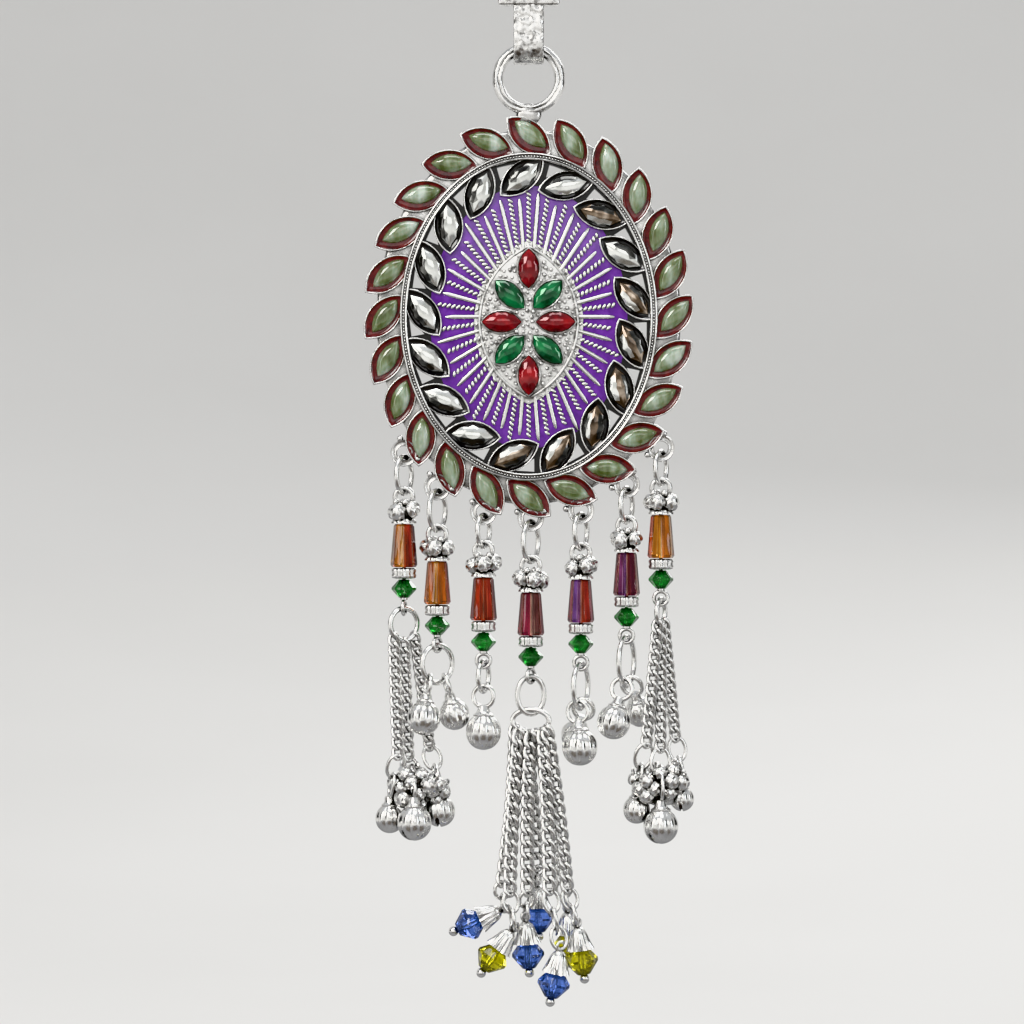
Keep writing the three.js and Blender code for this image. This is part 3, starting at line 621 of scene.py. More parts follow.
def marquise_row(length, width, height, steps=12, lead=0.0):
    """Outline of a pointed oval with its points on the x axis, as a row at one height."""
    radius = (length ** 2 + width ** 2) / (4 * width)
    spread = math.asin(length / 2 / radius)
    row = []
    for side in (-1, 1):
        middle = side * (width / 2 - radius)
        for i in range(steps):
            angle = side * math.pi / 2 - spread + 2 * spread * (i + lead) / steps
            row.append((radius * math.cos(angle), middle + radius * math.sin(angle), height))
    return np.array(row)


def inset_rows(size, rows):
    """Pointed ovals, each drawn in from the size by its inset. The points draw in faster than the sides."""
    return [marquise_row(size["length"] - inset * POINT_RUN, size["width"] - inset, height)
            for inset, height in rows]


def setting_cup(size, top, floor, foot):
    """A thin-walled pointed cup that stands close to the back plane."""
    return lofted(inset_rows(size, [(0.0, foot), (0.0, top - 0.2), (0.1, top - 0.04), (0.28, top),
                                    (0.48, top - 0.05), (0.58, top - 0.2), (0.64, floor)]))


def enamel_dish(size, top, floor):
    """Enamel that wets the cup's wall and lies a little lower in its middle."""
    rows = [(0.54, top), (0.8, top - 0.1), (1.2, floor + 0.04), (2.2, floor)]
    return lofted(inset_rows(size, rows), capped=(False, True))


def domed_stone(length, width, seat, rise, sunk=0.3, fullness=0.75):
    rows = [marquise_row(length, width, seat - sunk)]
    for angle in np.linspace(0, math.pi / 2, 9)[:-1]:
        size = math.cos(angle) ** fullness
        rows.append(marquise_row(length * size, width * size, seat + rise * math.sin(angle)))
    return lofted(rows)


maroon_enamel = new_finish("maroon_enamel", (0.1, 0.008, 0.009), roughness=0.2, coat_weight=0.35,
                           coat_roughness=0.08)
mottle(maroon_enamel, [(0.035, 0.003, 0.004), (0.085, 0.007, 0.008), (0.14, 0.015, 0.014)], 900.0)
add_relief(maroon_enamel, 0.3, 0.00004, 1500.0)

sage_cabochon = new_finish("sage_cabochon", (0.3, 0.38, 0.28), roughness=0.1, coat_weight=1.0,
                           coat_roughness=0.03, subsurface_weight=0.25, subsurface_scale=0.0008)
mottle(sage_cabochon,
       [(0.07, 0.088, 0.03), (0.135, 0.175, 0.085), (0.235, 0.29, 0.21), (0.42, 0.48, 0.42)],
       450.0, 3.0, (1, 1, 0.4))
vary_gloss(sage_cabochon, 0.06, 0.16, 600.0)

leaf_cup = setting_cup(LEAF, **LEAF_CUP)
leaf_enamel = enamel_dish(LEAF, **LEAF_ENAMEL)
leaf_stone = domed_stone(**CABOCHON)
jitter = random.Random(11)
cups, enamels, stones = [], [], []
for x, y, heading in places_round(LEAF["across"], LEAF["up"], LEAF["count"]):
    tilt = heading + LEAF["tilt"]
    loose = tilt + jitter.uniform(-CABOCHON_SHIFT["slew"], CABOCHON_SHIFT["slew"])
    cups.append(moved(leaf_cup, x, y, turn=turn_about("Z", tilt)))
    enamels.append(moved(leaf_enamel, x, y, turn=turn_about("Z", tilt)))
    share = (1 + y / LEAF["up"]) / 2
    stray = jitter.uniform(-CABOCHON_SHIFT["stray"], CABOCHON_SHIFT["stray"])
    stones.append(moved(leaf_stone, x + share * CABOCHON_SHIFT["x"] + stray, y + share * CABOCHON_SHIFT["y"],
                        turn=turn_about("Z", loose)))
pendant_piece("leaf_cups", cups, [cast_silver], crease=50)
pendant_piece("leaf_enamel", enamels, [maroon_enamel])
pendant_piece("leaf_cabochons", stones, [sage_cabochon], crease=60)


# Crystal border: seventeen pointed collars inside the rim, swept the other way, filled with black enamel
# round clear foil-backed crystals that are cut with a table and kite facets. Their facets towards the rim
# carry painted shade, those on the other side a painted highlight, and some stones a painted brown reflection
# across the middle.
COLLAR_CUP = {"top": 0.95, "floor": 0.3, "foot": BACK + 0.1}
COLLAR_ENAMEL = {"top": 0.79, "floor": 0.45}
ENAMEL_GROUND = (-0.3, 0.16)
CLEAR_STONE = {"length": 7.8, "width": 3.8, "foot": 0.4, "girdle": 0.85, "table": 1.65}
STONE_LEAN = {"X": 7, "Y": 4}
STONE_CUT = {"base": (0.86, 0.82), "crown": (0.78, 0.78), "crown_rise": 0.62, "table": (0.4, 0.42)}
# The stones listed first carry a painted brown reflection across the middle. The bands and tones below paint
# reflections and shade onto the foil, facet by facet.
BROWN_REFLECTION_STONES = (2, 4, 5, 6, 7, 8, 9)
PAINTED_REFLECTION_BANDS = {"bright_side": -0.2, "middle": 0.02, "dark_side": 0.2}
FOIL_PAINTED_REFLECTIONS = {
    "bright": [(0.6, 0.61, 0.58), (0.84, 0.85, 0.82), (0.95, 0.96, 0.93)],
    "grey": [(0.1, 0.1, 0.095), (0.3, 0.305, 0.29), (0.62, 0.63, 0.6)],
    "dark": [(0.02, 0.02, 0.019), (0.07, 0.07, 0.066), (0.2, 0.2, 0.19)],
    "brown": [(0.05, 0.036, 0.026), (0.2, 0.145, 0.1), (0.5, 0.42, 0.34)],
}


def cut_stone(length, width, foot, girdle, table, steps=4):
    """A marquise stone with a table, a row of kite facets and small facets above and below them."""
    def level(shares, height, lead=0.0):
        return marquise_row(length * shares[0], width * shares[1], height, steps, lead)

    crown_height = girdle + STONE_CUT["crown_rise"] * (table - girdle)
    points = np.concatenate([level(STONE_CUT["base"], foot), level((1, 1), girdle),
                             level(STONE_CUT["crown"], crown_height, 0.5), level(STONE_CUT["table"], table)])
    count = 2 * steps
    faces = [tuple(range(count - 1, -1, -1)), tuple(range(3 * count, 4 * count))]
    for i in range(count):
        j = (i + 1) % count
        faces.append((i, j, count + j, count + i))
        faces.append((count + i, count + j, 2 * count + i))
        faces.append((count + j, 2 * count + j, 3 * count + j, 2 * count + i))
        faces.append((2 * count + i, 3 * count + j, 3 * count + i))
    return Shape(points, faces)


black_enamel = new_finish("black_enamel", (0.007, 0.007, 0.008), roughness=0.22, coat_weight=0.5,
                          coat_roughness=0.1)
mottle(black_enamel, [(0.004, 0.004, 0.005), (0.016, 0.015, 0.014)], 800.0)
add_relief(black_enamel, 0.3, 0.00004, 1500.0)


def painted_reflection_finish(name, colours):
    """Clear glass over metal foil, in one tone of the painted reflections and painted shade on the foil, with
    a clear coat in front of it.
    """
    material = new_finish(f"{name}_painted_reflection", colours[1], metallic=0.9, roughness=0.16, coat_weight=1.0,
                          coat_roughness=0.03)
    mottle(material, colours, 450.0, 2.0)
    vary_gloss(material, 0.1, 0.22, 500.0)
    return material


painted_reflections = {name: painted_reflection_finish(name, colours) for name, colours in FOIL_PAINTED_REFLECTIONS.items()}


def painted_with_reflections(stone, brown):
    """A stone whose facets show the foil behind them, with painted shade on the facets towards the rim, a
    painted highlight on those on the other side, and on some stones a painted brown reflection across the
    middle.
    """
    marks = []
    for face in stone.faces:
        out = stone.points[list(face)].mean(0)[1] / CLEAR_STONE["width"]
        if out > PAINTED_REFLECTION_BANDS["dark_side"]:
            tint = "dark"
        elif out < PAINTED_REFLECTION_BANDS["bright_side"]:
            tint = "bright"
        elif brown:
            tint = "brown"
        else:
            tint = "bright" if out < PAINTED_REFLECTION_BANDS["middle"] else "grey"
        marks.append(list(FOIL_PAINTED_REFLECTIONS).index(tint))
    return Shape(stone.points, stone.faces, marks)


collar_cup = setting_cup(CRYSTAL, **COLLAR_CUP)
collar_enamel = enamel_dish(CRYSTAL, **COLLAR_ENAMEL)
clear_stone = cut_stone(**CLEAR_STONE)
collar_places = [(x, y, heading + CRYSTAL["tilt"]) for x, y, heading in crystal_places]
collars, blacks, crystals = [], [], []
for number, (x, y, tilt) in enumerate(collar_places):
    lean = turn = turn_about("Z", tilt)
    for axis, most in STONE_LEAN.items():
        lean = lean @ turn_about(axis, jitter.uniform(-most, most))
    collars.append(moved(collar_cup, x, y, turn=turn))
    blacks.append(moved(collar_enamel, x, y, turn=turn))
    crystals.append(moved(painted_with_reflections(clear_stone, number in BROWN_REFLECTION_STONES), x, y, turn=lean))
pendant_piece("crystal_collars", collars, [cast_silver], crease=50)
ground_size = (RIM["across"] - RIM["band"], RIM["up"] - RIM["band"])
black_ground = lofted([oval_row(*ground_size, z) for z in ENAMEL_GROUND])
blacks.append(cut_through(black_ground, joined(gap_cutters)))
pendant_piece("collar_enamel", blacks, [black_enamel])
pendant_piece("crystals", crystals, list(painted_reflections.values()), crease=24)


# Rayed field: a low dome of purple enamel between the collars and the boss, crossed by plain silver ridges
# that take turns with ridges of twisted rope wire.
FIELD = {"across": 17.6, "up": 23.4, "rise": 0.7, "inner": 0.42, "flat": 0.5, "skirt": 1.09, "base": 0.2}
SKIRT_DROP = -0.06
RAYS = 30
RIDGE = {"radius": 0.43, "start": 0.45, "step": 0.5, "margin": 0.25, "short_by": 0.5}
RIDGE_TIP = (0.92, 0.78, 0.5)
ROPE = {"length": 0.66, "radius": 0.33, "pitch": 0.88, "slant": 46, "margin": 0.45, "lift": 0.06}

purple_enamel = new_finish("purple_enamel", (0.11, 0.018, 0.265), roughness=0.2, coat_weight=0.5,
                           coat_roughness=0.06)
mottle(purple_enamel, [(0.075, 0.01, 0.19), (0.11, 0.018, 0.265), (0.155, 0.033, 0.34)], 420.0)
vary_gloss(purple_enamel, 0.1, 0.26, 900.0)
add_relief(purple_enamel, 0.35, 0.00006, 700.0)


def field_height(scale):
    slope = (1 - scale) / (1 - FIELD["flat"])
    return FIELD["base"] + FIELD["rise"] * min(1.0, max(SKIRT_DROP, slope))


def inside_marquise(x, y, length, width):
    radius = (length ** 2 + width ** 2) / (4 * width)
    return math.hypot(x, abs(y) + radius - width / 2) < radius


def on_a_setting(x, y, places, length, width):
    """Whether a point lies in one of the pointed ovals that stand at the places, turned to their angles."""
    for place_x, place_y, angle in places:
        spin = math.radians(angle)
        dx, dy = x - place_x, y - place_y
        along = dx * math.cos(spin) + dy * math.sin(spin)
        across = dy * math.cos(spin) - dx * math.sin(spin)
        if inside_marquise(along, across, length, width):
            return True
    return False


def ray_route(angle, margin, spacing):
    """Points up the slope of the field from under the boss to just short of the collars."""
    length, width = CRYSTAL["length"] + 2 * margin, CRYSTAL["width"] + 2 * margin
    reach = math.hypot(FIELD["across"] * math.cos(angle), FIELD["up"] * math.sin(angle))
    route = []
    scale = RIDGE["start"]
    while scale < FIELD["skirt"]:
        x, y = scale * FIELD["across"] * math.cos(angle), scale * FIELD["up"] * math.sin(angle)
        if on_a_setting(x, y, collar_places, length, width):
            break
        route.append((x, y, field_height(scale)))
        scale += spacing / reach
    return np.array(route)


def round_section(radius, sides):
    angles = np.linspace(0, 2 * math.pi, sides, endpoint=False)
    return np.stack([radius * np.cos(angles), radius * np.sin(angles)], 1)


field_rows = []
for scale in np.linspace(FIELD["inner"], FIELD["skirt"], 16):
    field_rows.append(oval_row(FIELD["across"] * scale, FIELD["up"] * scale, field_height(scale), 180))
pendant_piece("purple_field", [lofted(field_rows, capped=(False, False))], [purple_enamel])

bright_silver = silver_finish("bright_silver", (0.05, 0.047, 0.043), (0.13, 0.27), 0.00002)
rope_bead = ball(0, 0, 0, 1.0, 10)
rope_bead.points = rope_bead.points * (ROPE["length"], ROPE["radius"], ROPE["radius"])
ridges, ropes = [], []
for i in range(RAYS):
    margin = RIDGE["margin"] + RIDGE["short_by"] * (i % 3 == 1)
    route = ray_route(math.pi / 2 + (i + 0.5) * 2 * math.pi / RAYS, margin, RIDGE["step"])
    sizes = np.ones(len(route))
    sizes[-len(RIDGE_TIP):] = RIDGE_TIP
    ridges.append(swept(route, round_section(RIDGE["radius"], 10), sizes=sizes))
    route = ray_route(math.pi / 2 + i * 2 * math.pi / RAYS, ROPE["margin"], ROPE["pitch"])
    heading = math.degrees(math.atan2(route[-1][1] - route[0][1], route[-1][0] - route[0][0]))
    slant = turn_about("Z", heading + ROPE["slant"])
    for place in route:
        ropes.append(moved(rope_bead, *(place + (0, 0, ROPE["lift"])), turn=slant))
pendant_piece("plain_rays", ridges, [bright_silver], crease=60)
pendant_piece("rope_rays", ropes, [bright_silver], crease=60)


# Boss: a pointed oval dome of granulated silver with a wire border, carrying eight glass stones in thin
# bezels: four red ones on the axes and four green ones between them.
BOSS = {"length": 28.6, "width": 18.6, "below": 1.0, "wall": 1.2, "top": 1.78}
BOSS_SKIRT = [(1.0, 0.3), (0.8, 0.98), (0.0, 1.02)]
BOSS_LEVELS = (0.985, 0.9, 0.8, 0.65, 0.5, 0.35, 0.2, 0.08)
BORDER = {"length": 28.05, "width": 18.2, "height": 1.22, "wire": 0.27}
CENTRE_STONE = {"length": 7.3, "width": 3.8, "foot": 1.3, "girdle": 1.95, "table": 2.75}
BEZEL_PROFILE = [(0.4, 0.6), (0.4, 1.8), (0.28, 1.95), (0.2, 2.0), (0.1, 1.95), (0.02, 1.6)]
GRANULE = {"radius": 0.36, "sizes": (0.8, 1.15), "spacing": 0.84, "tries": 6000, "stone_gap": 1.3}
GRANULE_EDGE = {"length": 2.6, "width": 1.9}
STONE_PLACES = {
    "top": (0, 9.9, 90), "bottom": (0, -9.9, 90), "left": (-5.0, 0, 0), "right": (5.0, 0, 0),
    "upper_left": (-3.5, 5.1, -44), "upper_right": (3.5, 5.1, 44),
    "lower_left": (-3.5, -5.1, 44), "lower_right": (3.5, -5.1, -44),
}


def boss_height(x, y):
    out = min(1.0, math.hypot(x / BOSS["width"], y / BOSS["length"]) * 2)
    return BOSS["wall"] + (BOSS["top"] - BOSS["wall"]) * (1 - out ** 2)


upright = turn_about("Z", 90)
boss_rows = [marquise_row(BOSS["length"] + 2.2 * out, BOSS["width"] + 2 * out, z, 40)
             for out, z in BOSS_SKIRT]
for size in BOSS_LEVELS:
    row = marquise_row(BOSS["length"] * size, BOSS["width"] * size, 0.0, 40)
    row[:, 2] = [boss_height(-y, x) for x, y, _ in row]
    boss_rows.append(row)
boss_dome = moved(lofted(boss_rows), y=-BOSS["below"], turn=upright)
border = marquise_row(BORDER["length"], BORDER["width"], BORDER["height"], 60)
border_wire = swept(border, round_section(BORDER["wire"], 8), closed=True, side=(0, 0, 1))
border_wire = moved(border_wire, y=-BOSS["below"], turn=upright)

granulated_silver = silver_finish("granulated_silver", (0.06, 0.056, 0.05), (0.24, 0.42), 0.00014, 0.45)
bare_size = (CENTRE_STONE["length"] + GRANULE["stone_gap"], CENTRE_STONE["width"] + GRANULE["stone_gap"])
granule_size = (BOSS["length"] - GRANULE_EDGE["length"], BOSS["width"] - GRANULE_EDGE["width"])
granules, taken = [], []
for _ in range(GRANULE["tries"]):
    x = jitter.uniform(-BOSS["width"] / 2, BOSS["width"] / 2)
    y = jitter.uniform(-BOSS["length"] / 2, BOSS["length"] / 2)
    if not inside_marquise(y, x, *granule_size) or on_a_setting(x, y, STONE_PLACES.values(), *bare_size):
        continue
    if any(math.hypot(x - u, y - v) < GRANULE["spacing"] for u, v in taken):
        continue
    taken.append((x, y))
    size = GRANULE["radius"] * jitter.uniform(*GRANULE["sizes"])
    granules.append(ball(x, y - BOSS["below"], boss_height(x, y), size, 10))

bezel = lofted([marquise_row(CENTRE_STONE["length"] + POINT_RUN * out, CENTRE_STONE["width"] + 2 * out, z)
                for out, z in BEZEL_PROFILE])
bezels = [moved(bezel, x, y - BOSS["below"], turn=turn_about("Z", angle))
          for x, y, angle in STONE_PLACES.values()]
pendant_piece("boss", [boss_dome, border_wire, *granules, *bezels], [granulated_silver], crease=50)


def stone_finish(name, colours):
    """Foil-backed coloured glass: deep colour, bright facets."""
    material = new_finish(name, colours[1], metallic=0.35, roughness=0.08, coat_weight=1.0,
                          coat_roughness=0.02)
    mottle(material, colours, 380.0, 2.0)
    vary_gloss(material, 0.05, 0.16, 700.0)
    return material


red_stone = stone_finish("red_stone", [(0.07, 0.002, 0.004), (0.17, 0.004, 0.008), (0.36, 0.01, 0.014)])
green_stone = stone_finish("green_stone",
                           [(0.002, 0.035, 0.011), (0.004, 0.095, 0.03), (0.012, 0.23, 0.07)])
centre_cut = cut_stone(**CENTRE_STONE, steps=5)
for name, (x, y, angle) in STONE_PLACES.items():
    red = angle in (0, 90)
    stone = moved(centre_cut, x, y - BOSS["below"], turn=turn_about("Z", angle))
    pendant_piece(f"stone_{name}", [stone], [red_stone if red else green_stone], crease=22,
                  nodes=[f"centre_stone_{name}"])


# Strings: each hangs on a jump ring in its lug and carries an eye with a cluster of tiny bells, a ribbed cap,
# a tapered coated glass bead, a fluted spacer and a green bicone on one wire that ends in a bent eye.
JUMP_WIRE = 0.5
JUMP_TURN = 68
HANG_SLACK = 0.62
STACK_GAP = 0.15
CLUSTER = {"height": 4.2, "eye": 1.7, "wire": 0.48, "eye_turn": -12, "eye_slew": 8, "stem": 0.75}
CLUSTER_STEM_TOP = {"edge": 1.3, "middle": 1.1}
CLUSTER_BELLS = {"count": 4, "radius": 1.6, "sizes": (0.92, 1.08), "spread": 1.85, "first": 38, "slew": 17,
                 "above_cap": 2.2, "stray": (-0.25, 0.45), "lean": 50, "pitch": 40}
CLUSTER_BALLS = {"radius": 0.7, "spread": 1.5, "turn": 0.8, "below_eye": 0.9}
CAP_PROFILE = [(0.4, 0.0), (2.25, 0.0), (2.25, 0.25), (1.75, 0.9), (1.0, 1.3)]
CAP_HEIGHT = CAP_PROFILE[-1][1]
BEAD_LENGTH = 8.0
BEAD_PROFILE = [(0.55, -BEAD_LENGTH), (2.2, -BEAD_LENGTH), (2.5, 0.45 - BEAD_LENGTH), (1.9, -0.35),
                (1.65, 0.0), (0.55, 0.0)]
BEAD_SIDES = 8
BEAD_EDGE = 3.0
SPACER = {"radius": 2.25, "height": 2.0, "flutes": 14, "flute_depth": 0.055}
SPACER_PROFILE = [(0.5, -1.0), (0.8, -0.98), (0.96, -0.8), (1.0, -0.45), (0.93, 0.0), (1.0, 0.45),
                  (0.96, 0.8), (0.8, 0.98), (0.5, 1.0)]
BICONE = {"radius": 2.3, "height": 3.4}
STRING_WIRE = 0.36
STRING_WIRE_TOP = 0.4
LOWER_EYE = {"radius": 1.28, "wire": 0.38, "slack": 0.28}
CRIMP_PROFILE = [(0.4, -0.3), (0.75, -0.2), (0.75, 0.2), (0.4, 0.3)]
STRINGS = [
    {"bead": 13.2, "eye_turn": 80, "tints": "flame wine amber wine amber flame pale gold"},
    {"bead": 13.8, "eye_turn": 58, "tints": "amber flame gold amber flame gold amber gold"},
    {"bead": 12.2, "eye_turn": 0, "tints": "flame wine flame wine flame wine wine flame"},
    {"bead": 13.8, "eye_turn": 58, "tints": "smoke wine rose wine rose wine wine rose"},
    {"bead": 12.8, "eye_turn": 0, "tints": "flame wine violet rose violet wine rose violet"},
    {"bead": 12.6, "eye_turn": 0, "tints": "wine smoke rose violet wine rose wine violet"},
    {"bead": 12.4, "eye_turn": 0, "tints": "amber pale flame gold amber flame flame gold"},
]
# The pale and smoky tints are painted reflections on the bead sides that take them, and the edge tint is a
# painted highlight on the narrow bevels between the sides.
GLASS_TINTS_AND_PAINTED_LIGHT = {
    "amber": (0.38, 0.09, 0.007), "gold": (0.5, 0.2, 0.018), "flame": (0.31, 0.024, 0.005),
    "wine": (0.115, 0.006, 0.01), "rose": (0.19, 0.012, 0.036), "violet": (0.13, 0.055, 0.19),
    "smoke": (0.17, 0.12, 0.1), "pale": (0.42, 0.36, 0.31), "edge": (0.52, 0.3, 0.2),
}


def glass_finish(name, colour, clear=0.86, streaks=(0.35, 2.4)):
    """Pressed glass with a coloured coat: deep inside, with light upright streaks that are partly the glass's
    own streaks and partly painted highlights.
    """
    deep = tuple(streaks[0] * c for c in colour)
    light = tuple(min(1.0, streaks[1] * c + 0.01) for c in colour)
    material = new_finish(name, colour, metallic=0.0, roughness=0.05, ior=1.55, transmission_weight=clear)
    mottle(material, [deep, colour, light], 1000.0, 2.0, (1, 1, 0.14))
    vary_gloss(material, 0.02, 0.08, 900.0)
    add_relief(material, 0.35, 0.0003, 800.0, 1.0, (1, 1, 0.16))
    return material


glass = {name: glass_finish(f"{name}_glass", colour) for name, colour in GLASS_TINTS_AND_PAINTED_LIGHT.items()}
green_glass = glass_finish("green_glass", (0.01, 0.16, 0.018))


def wire_ring(across, up, wire, turn=0.0, steps=32, sides=10):
    """A wire ring facing the viewer, turned about its upright axis."""
    ring = swept(ring_route(across, up, steps), round_section(wire, sides), closed=True, side=(0, 0, 1))
    return moved(ring, turn=turn_about("Y", turn))


def round_ring(radius, wire, turn, steps=32, sides=10):
    return wire_ring(radius, radius, wire, turn, steps, sides)


def rod(radius, low, high, sides):
    """An upright rod with closed ends."""
    return turned([(0, low), (radius, low), (radius, high), (0, high)], sides)


def fluted(count, depth):
    return lambda angle, _: 1 + depth * math.cos(count * angle)


def tiny_bell(radius, ribs=9):
    """A small ribbed ball."""
    rows = [(radius * math.sin(a), -radius * math.cos(a)) for a in np.linspace(0, math.pi, 13)]
    return turned(rows, 4 * ribs, fluted(ribs, 0.08))


def string_heights(bead_drop):
    """Heights along a string, from the lug's hole downwards."""
    at = {"bead": -bead_drop, "jump_top": -HANG_SLACK}
    at["jump_bottom"] = at["bead"] + STACK_GAP + CAP_HEIGHT + CLUSTER["height"]
    at["spacer"] = at["bead"] - BEAD_LENGTH - STACK_GAP
    at["bicone"] = at["spacer"] - SPACER["height"] - STACK_GAP
    at["wire_end"] = at["bicone"] - BICONE["height"]
    at["eye"] = at["wire_end"] - STACK_GAP - LOWER_EYE["radius"] - LOWER_EYE["wire"]
    at["hang"] = at["eye"] - LOWER_EYE["radius"] + LOWER_EYE["wire"] + JUMP_WIRE + LOWER_EYE["slack"]
    return at


def bell_cluster(number, cap_foot, eye_y):
    """Tiny bells hung round the stem above a cap, with a small ball over each."""
    made = []
    for k in range(CLUSTER_BELLS["count"]):
        angle = math.radians(CLUSTER_BELLS["first"] + 90 * k + CLUSTER_BELLS["slew"] * number)
        bell = tiny_bell(CLUSTER_BELLS["radius"] * jitter.uniform(*CLUSTER_BELLS["sizes"]))
        height = cap_foot + CLUSTER_BELLS["above_cap"] + jitter.uniform(*CLUSTER_BELLS["stray"])
        lean = turn_about("Z", jitter.uniform(-CLUSTER_BELLS["lean"], CLUSTER_BELLS["lean"]))
        spread = CLUSTER_BELLS["spread"]
        made.append(moved(bell, spread * math.sin(angle), height, spread * math.cos(angle),
                          turn=lean @ turn_about("X", CLUSTER_BELLS["pitch"])))
        angle += CLUSTER_BALLS["turn"]
        spread = CLUSTER_BALLS["spread"]
        made.append(ball(spread * math.sin(angle), eye_y - CLUSTER_BALLS["below_eye"],
                         spread * math.cos(angle), CLUSTER_BALLS["radius"], 10))
    return made


spacer = turned([(SPACER["radius"] * out, SPACER["height"] / 2 * up) for out, up in SPACER_PROFILE], 84,
                fluted(SPACER["flutes"], SPACER["flute_depth"]))


def string_metal(number, at, eye_turn):
    """The silver of one string, from the jump ring in its lug to the bent eye at its end."""
    jump = (at["jump_top"] - at["jump_bottom"]) / 2
    cap_foot = at["bead"] + STACK_GAP
    eye_y = at["jump_bottom"] - CLUSTER["eye"] + CLUSTER["wire"] + JUMP_WIRE
    upper_turn = CLUSTER["eye_turn"] + CLUSTER["eye_slew"] * (number % 3)
    eye = round_ring(CLUSTER["eye"], CLUSTER["wire"], upper_turn)
    stem = [(0, cap_foot), (CLUSTER["stem"], cap_foot), (CLUSTER["stem"], eye_y - CLUSTER_STEM_TOP["edge"]),
            (0, eye_y - CLUSTER_STEM_TOP["middle"])]
    cap = [(radius, cap_foot + height) for radius, height in CAP_PROFILE]
    lower_eye = round_ring(LOWER_EYE["radius"], LOWER_EYE["wire"], eye_turn)
    return [
        moved(round_ring(jump, JUMP_WIRE, JUMP_TURN), y=at["jump_top"] - jump),
        moved(eye, y=eye_y),
        turned(stem, 12),
        turned(cap, 56, fluted(14, 0.06)),
        *bell_cluster(number, cap_foot, eye_y),
        rod(STRING_WIRE, at["bead"] + STRING_WIRE_TOP, at["eye"] + LOWER_EYE["radius"], 10),
        moved(spacer, y=at["spacer"] - SPACER["height"] / 2),
        moved(lower_eye, y=at["eye"]),
        moved(turned(CRIMP_PROFILE, 14), y=at["wire_end"] - STACK_GAP),
    ]


def tapered_bead(top, tints):
    """Tapered bead with bevels at both ends and narrow edges with a painted highlight between its eight
    tinted sides.
    """
    names = list(dict.fromkeys(tints)) + ["edge"]
    side_angle = 360 / BEAD_SIDES
    angles = [math.radians(side_angle * (i + 0.5) + side * (side_angle / 2 - BEAD_EDGE))
              for i in range(BEAD_SIDES) for side in (-1, 1)]
    shape = lofted([np.array([(radius * math.sin(a), top + height, radius * math.cos(a)) for a in angles])
                    for radius, height in BEAD_PROFILE])
    marks = []
    # Every second face is a narrow bevel that carries the painted highlight.
    for tint in tints:
        marks += [names.index(tint), len(names) - 1]
    shape.marks = marks * (len(BEAD_PROFILE) - 1) + [0, 0]
    return shape, [glass[name] for name in names]


def cut_bicone(radius, height, sides=8):
    """A bicone with flat facets from a narrow girdle to its two drilled tips."""
    tip, girdle = 0.4 * radius, 0.06 * height
    return turned([(tip, -height / 2), (radius, -girdle), (radius, girdle), (tip, height / 2)], sides)


bicone_shape = cut_bicone(**BICONE)
for number, ((x, y), row) in enumerate(zip(LUGS, STRINGS), start=1):
    at = string_heights(row["bead"])
    metal = joined(string_metal(number, at, row["eye_turn"]))
    pendant_piece(f"string_{number}", [moved(metal, x, y)], [bright_silver], crease=50,
                  nodes=[f"drop_{number}_string"])
    bead, tints = tapered_bead(at["bead"], row["tints"].split())
    pendant_piece(f"glass_bead_{number}", [moved(bead, x, y)], tints, crease=4,
                  nodes=[f"drop_{number}_crystal"])
    bicone = moved(bicone_shape, x, y + at["bicone"] - BICONE["height"] / 2)
    pendant_piece(f"bicone_{number}", [bicone], [green_glass], crease=4,
                  nodes=[f"drop_{number}_bicone"])


# Bells of the short strings: melon-ribbed hollow balls of pressed silver, with a slit below and a shank ring
# on top, hung loosely by that ring on the ring at the end of the string.
SHANK = {"radius": 2.0, "wire": 0.42, "below": 0.93}
BELL_NECK = 0.5
BELL_DROP = 1.2
BELL_RIBS = {"count": 10, "depth": 0.09}
BELL_SLIT = {"half_width": 0.11, "below": 0.35, "reach": 0.86, "sunk_to": 0.84, "dark": 0.9,
             "dark_width": 0.8}
BELL_SHOULDER = [(0.55, 0.0, 0.87), (0.55, 0.06, 0.9), (0.55, 0.04, 0.95), (0.42, 0.0, 1.04),
                 (0.36, 0.0, 1.14)]
BELL_NECK_PROFILE = [(0.98, 0.05), (0.8, 0.36), (0, 0.45)]
BELL_RINGS = {
    2: {"ring": 3.5, "turn": 15, "slew": 23, "bells": {"a": (-28, 3.15, -7, 18), "b": (28, 2.9, 13, -16)}},
    3: {"ring": 2.8, "turn": 70, "slew": 0, "bells": {"a": (0, 3.4, 0, 0)}},
    5: {"ring": 4.2, "turn": 70, "slew": 0, "bells": {"a": (-26, 3.4, 3, 6), "b": (32, 2.8, -14, -26)}},
    6: {"ring": 4.6, "turn": 70, "slew": 0, "bells": {"a": (-26, 3.2, -14, 8), "b": (32, 2.8, 16, -26)}},
}

# Painted shade: a near-black metal on the floor of each bell's slit, standing for the shadowed hollow inside
# the bell.
bell_slit_painted_shade = new_finish("bell_slit_painted_shade", (0.03, 0.027, 0.024), metallic=1.0, roughness=0.5)
mottle(bell_slit_painted_shade, [(0.015, 0.013, 0.012), (0.06, 0.05, 0.045)], 800.0)


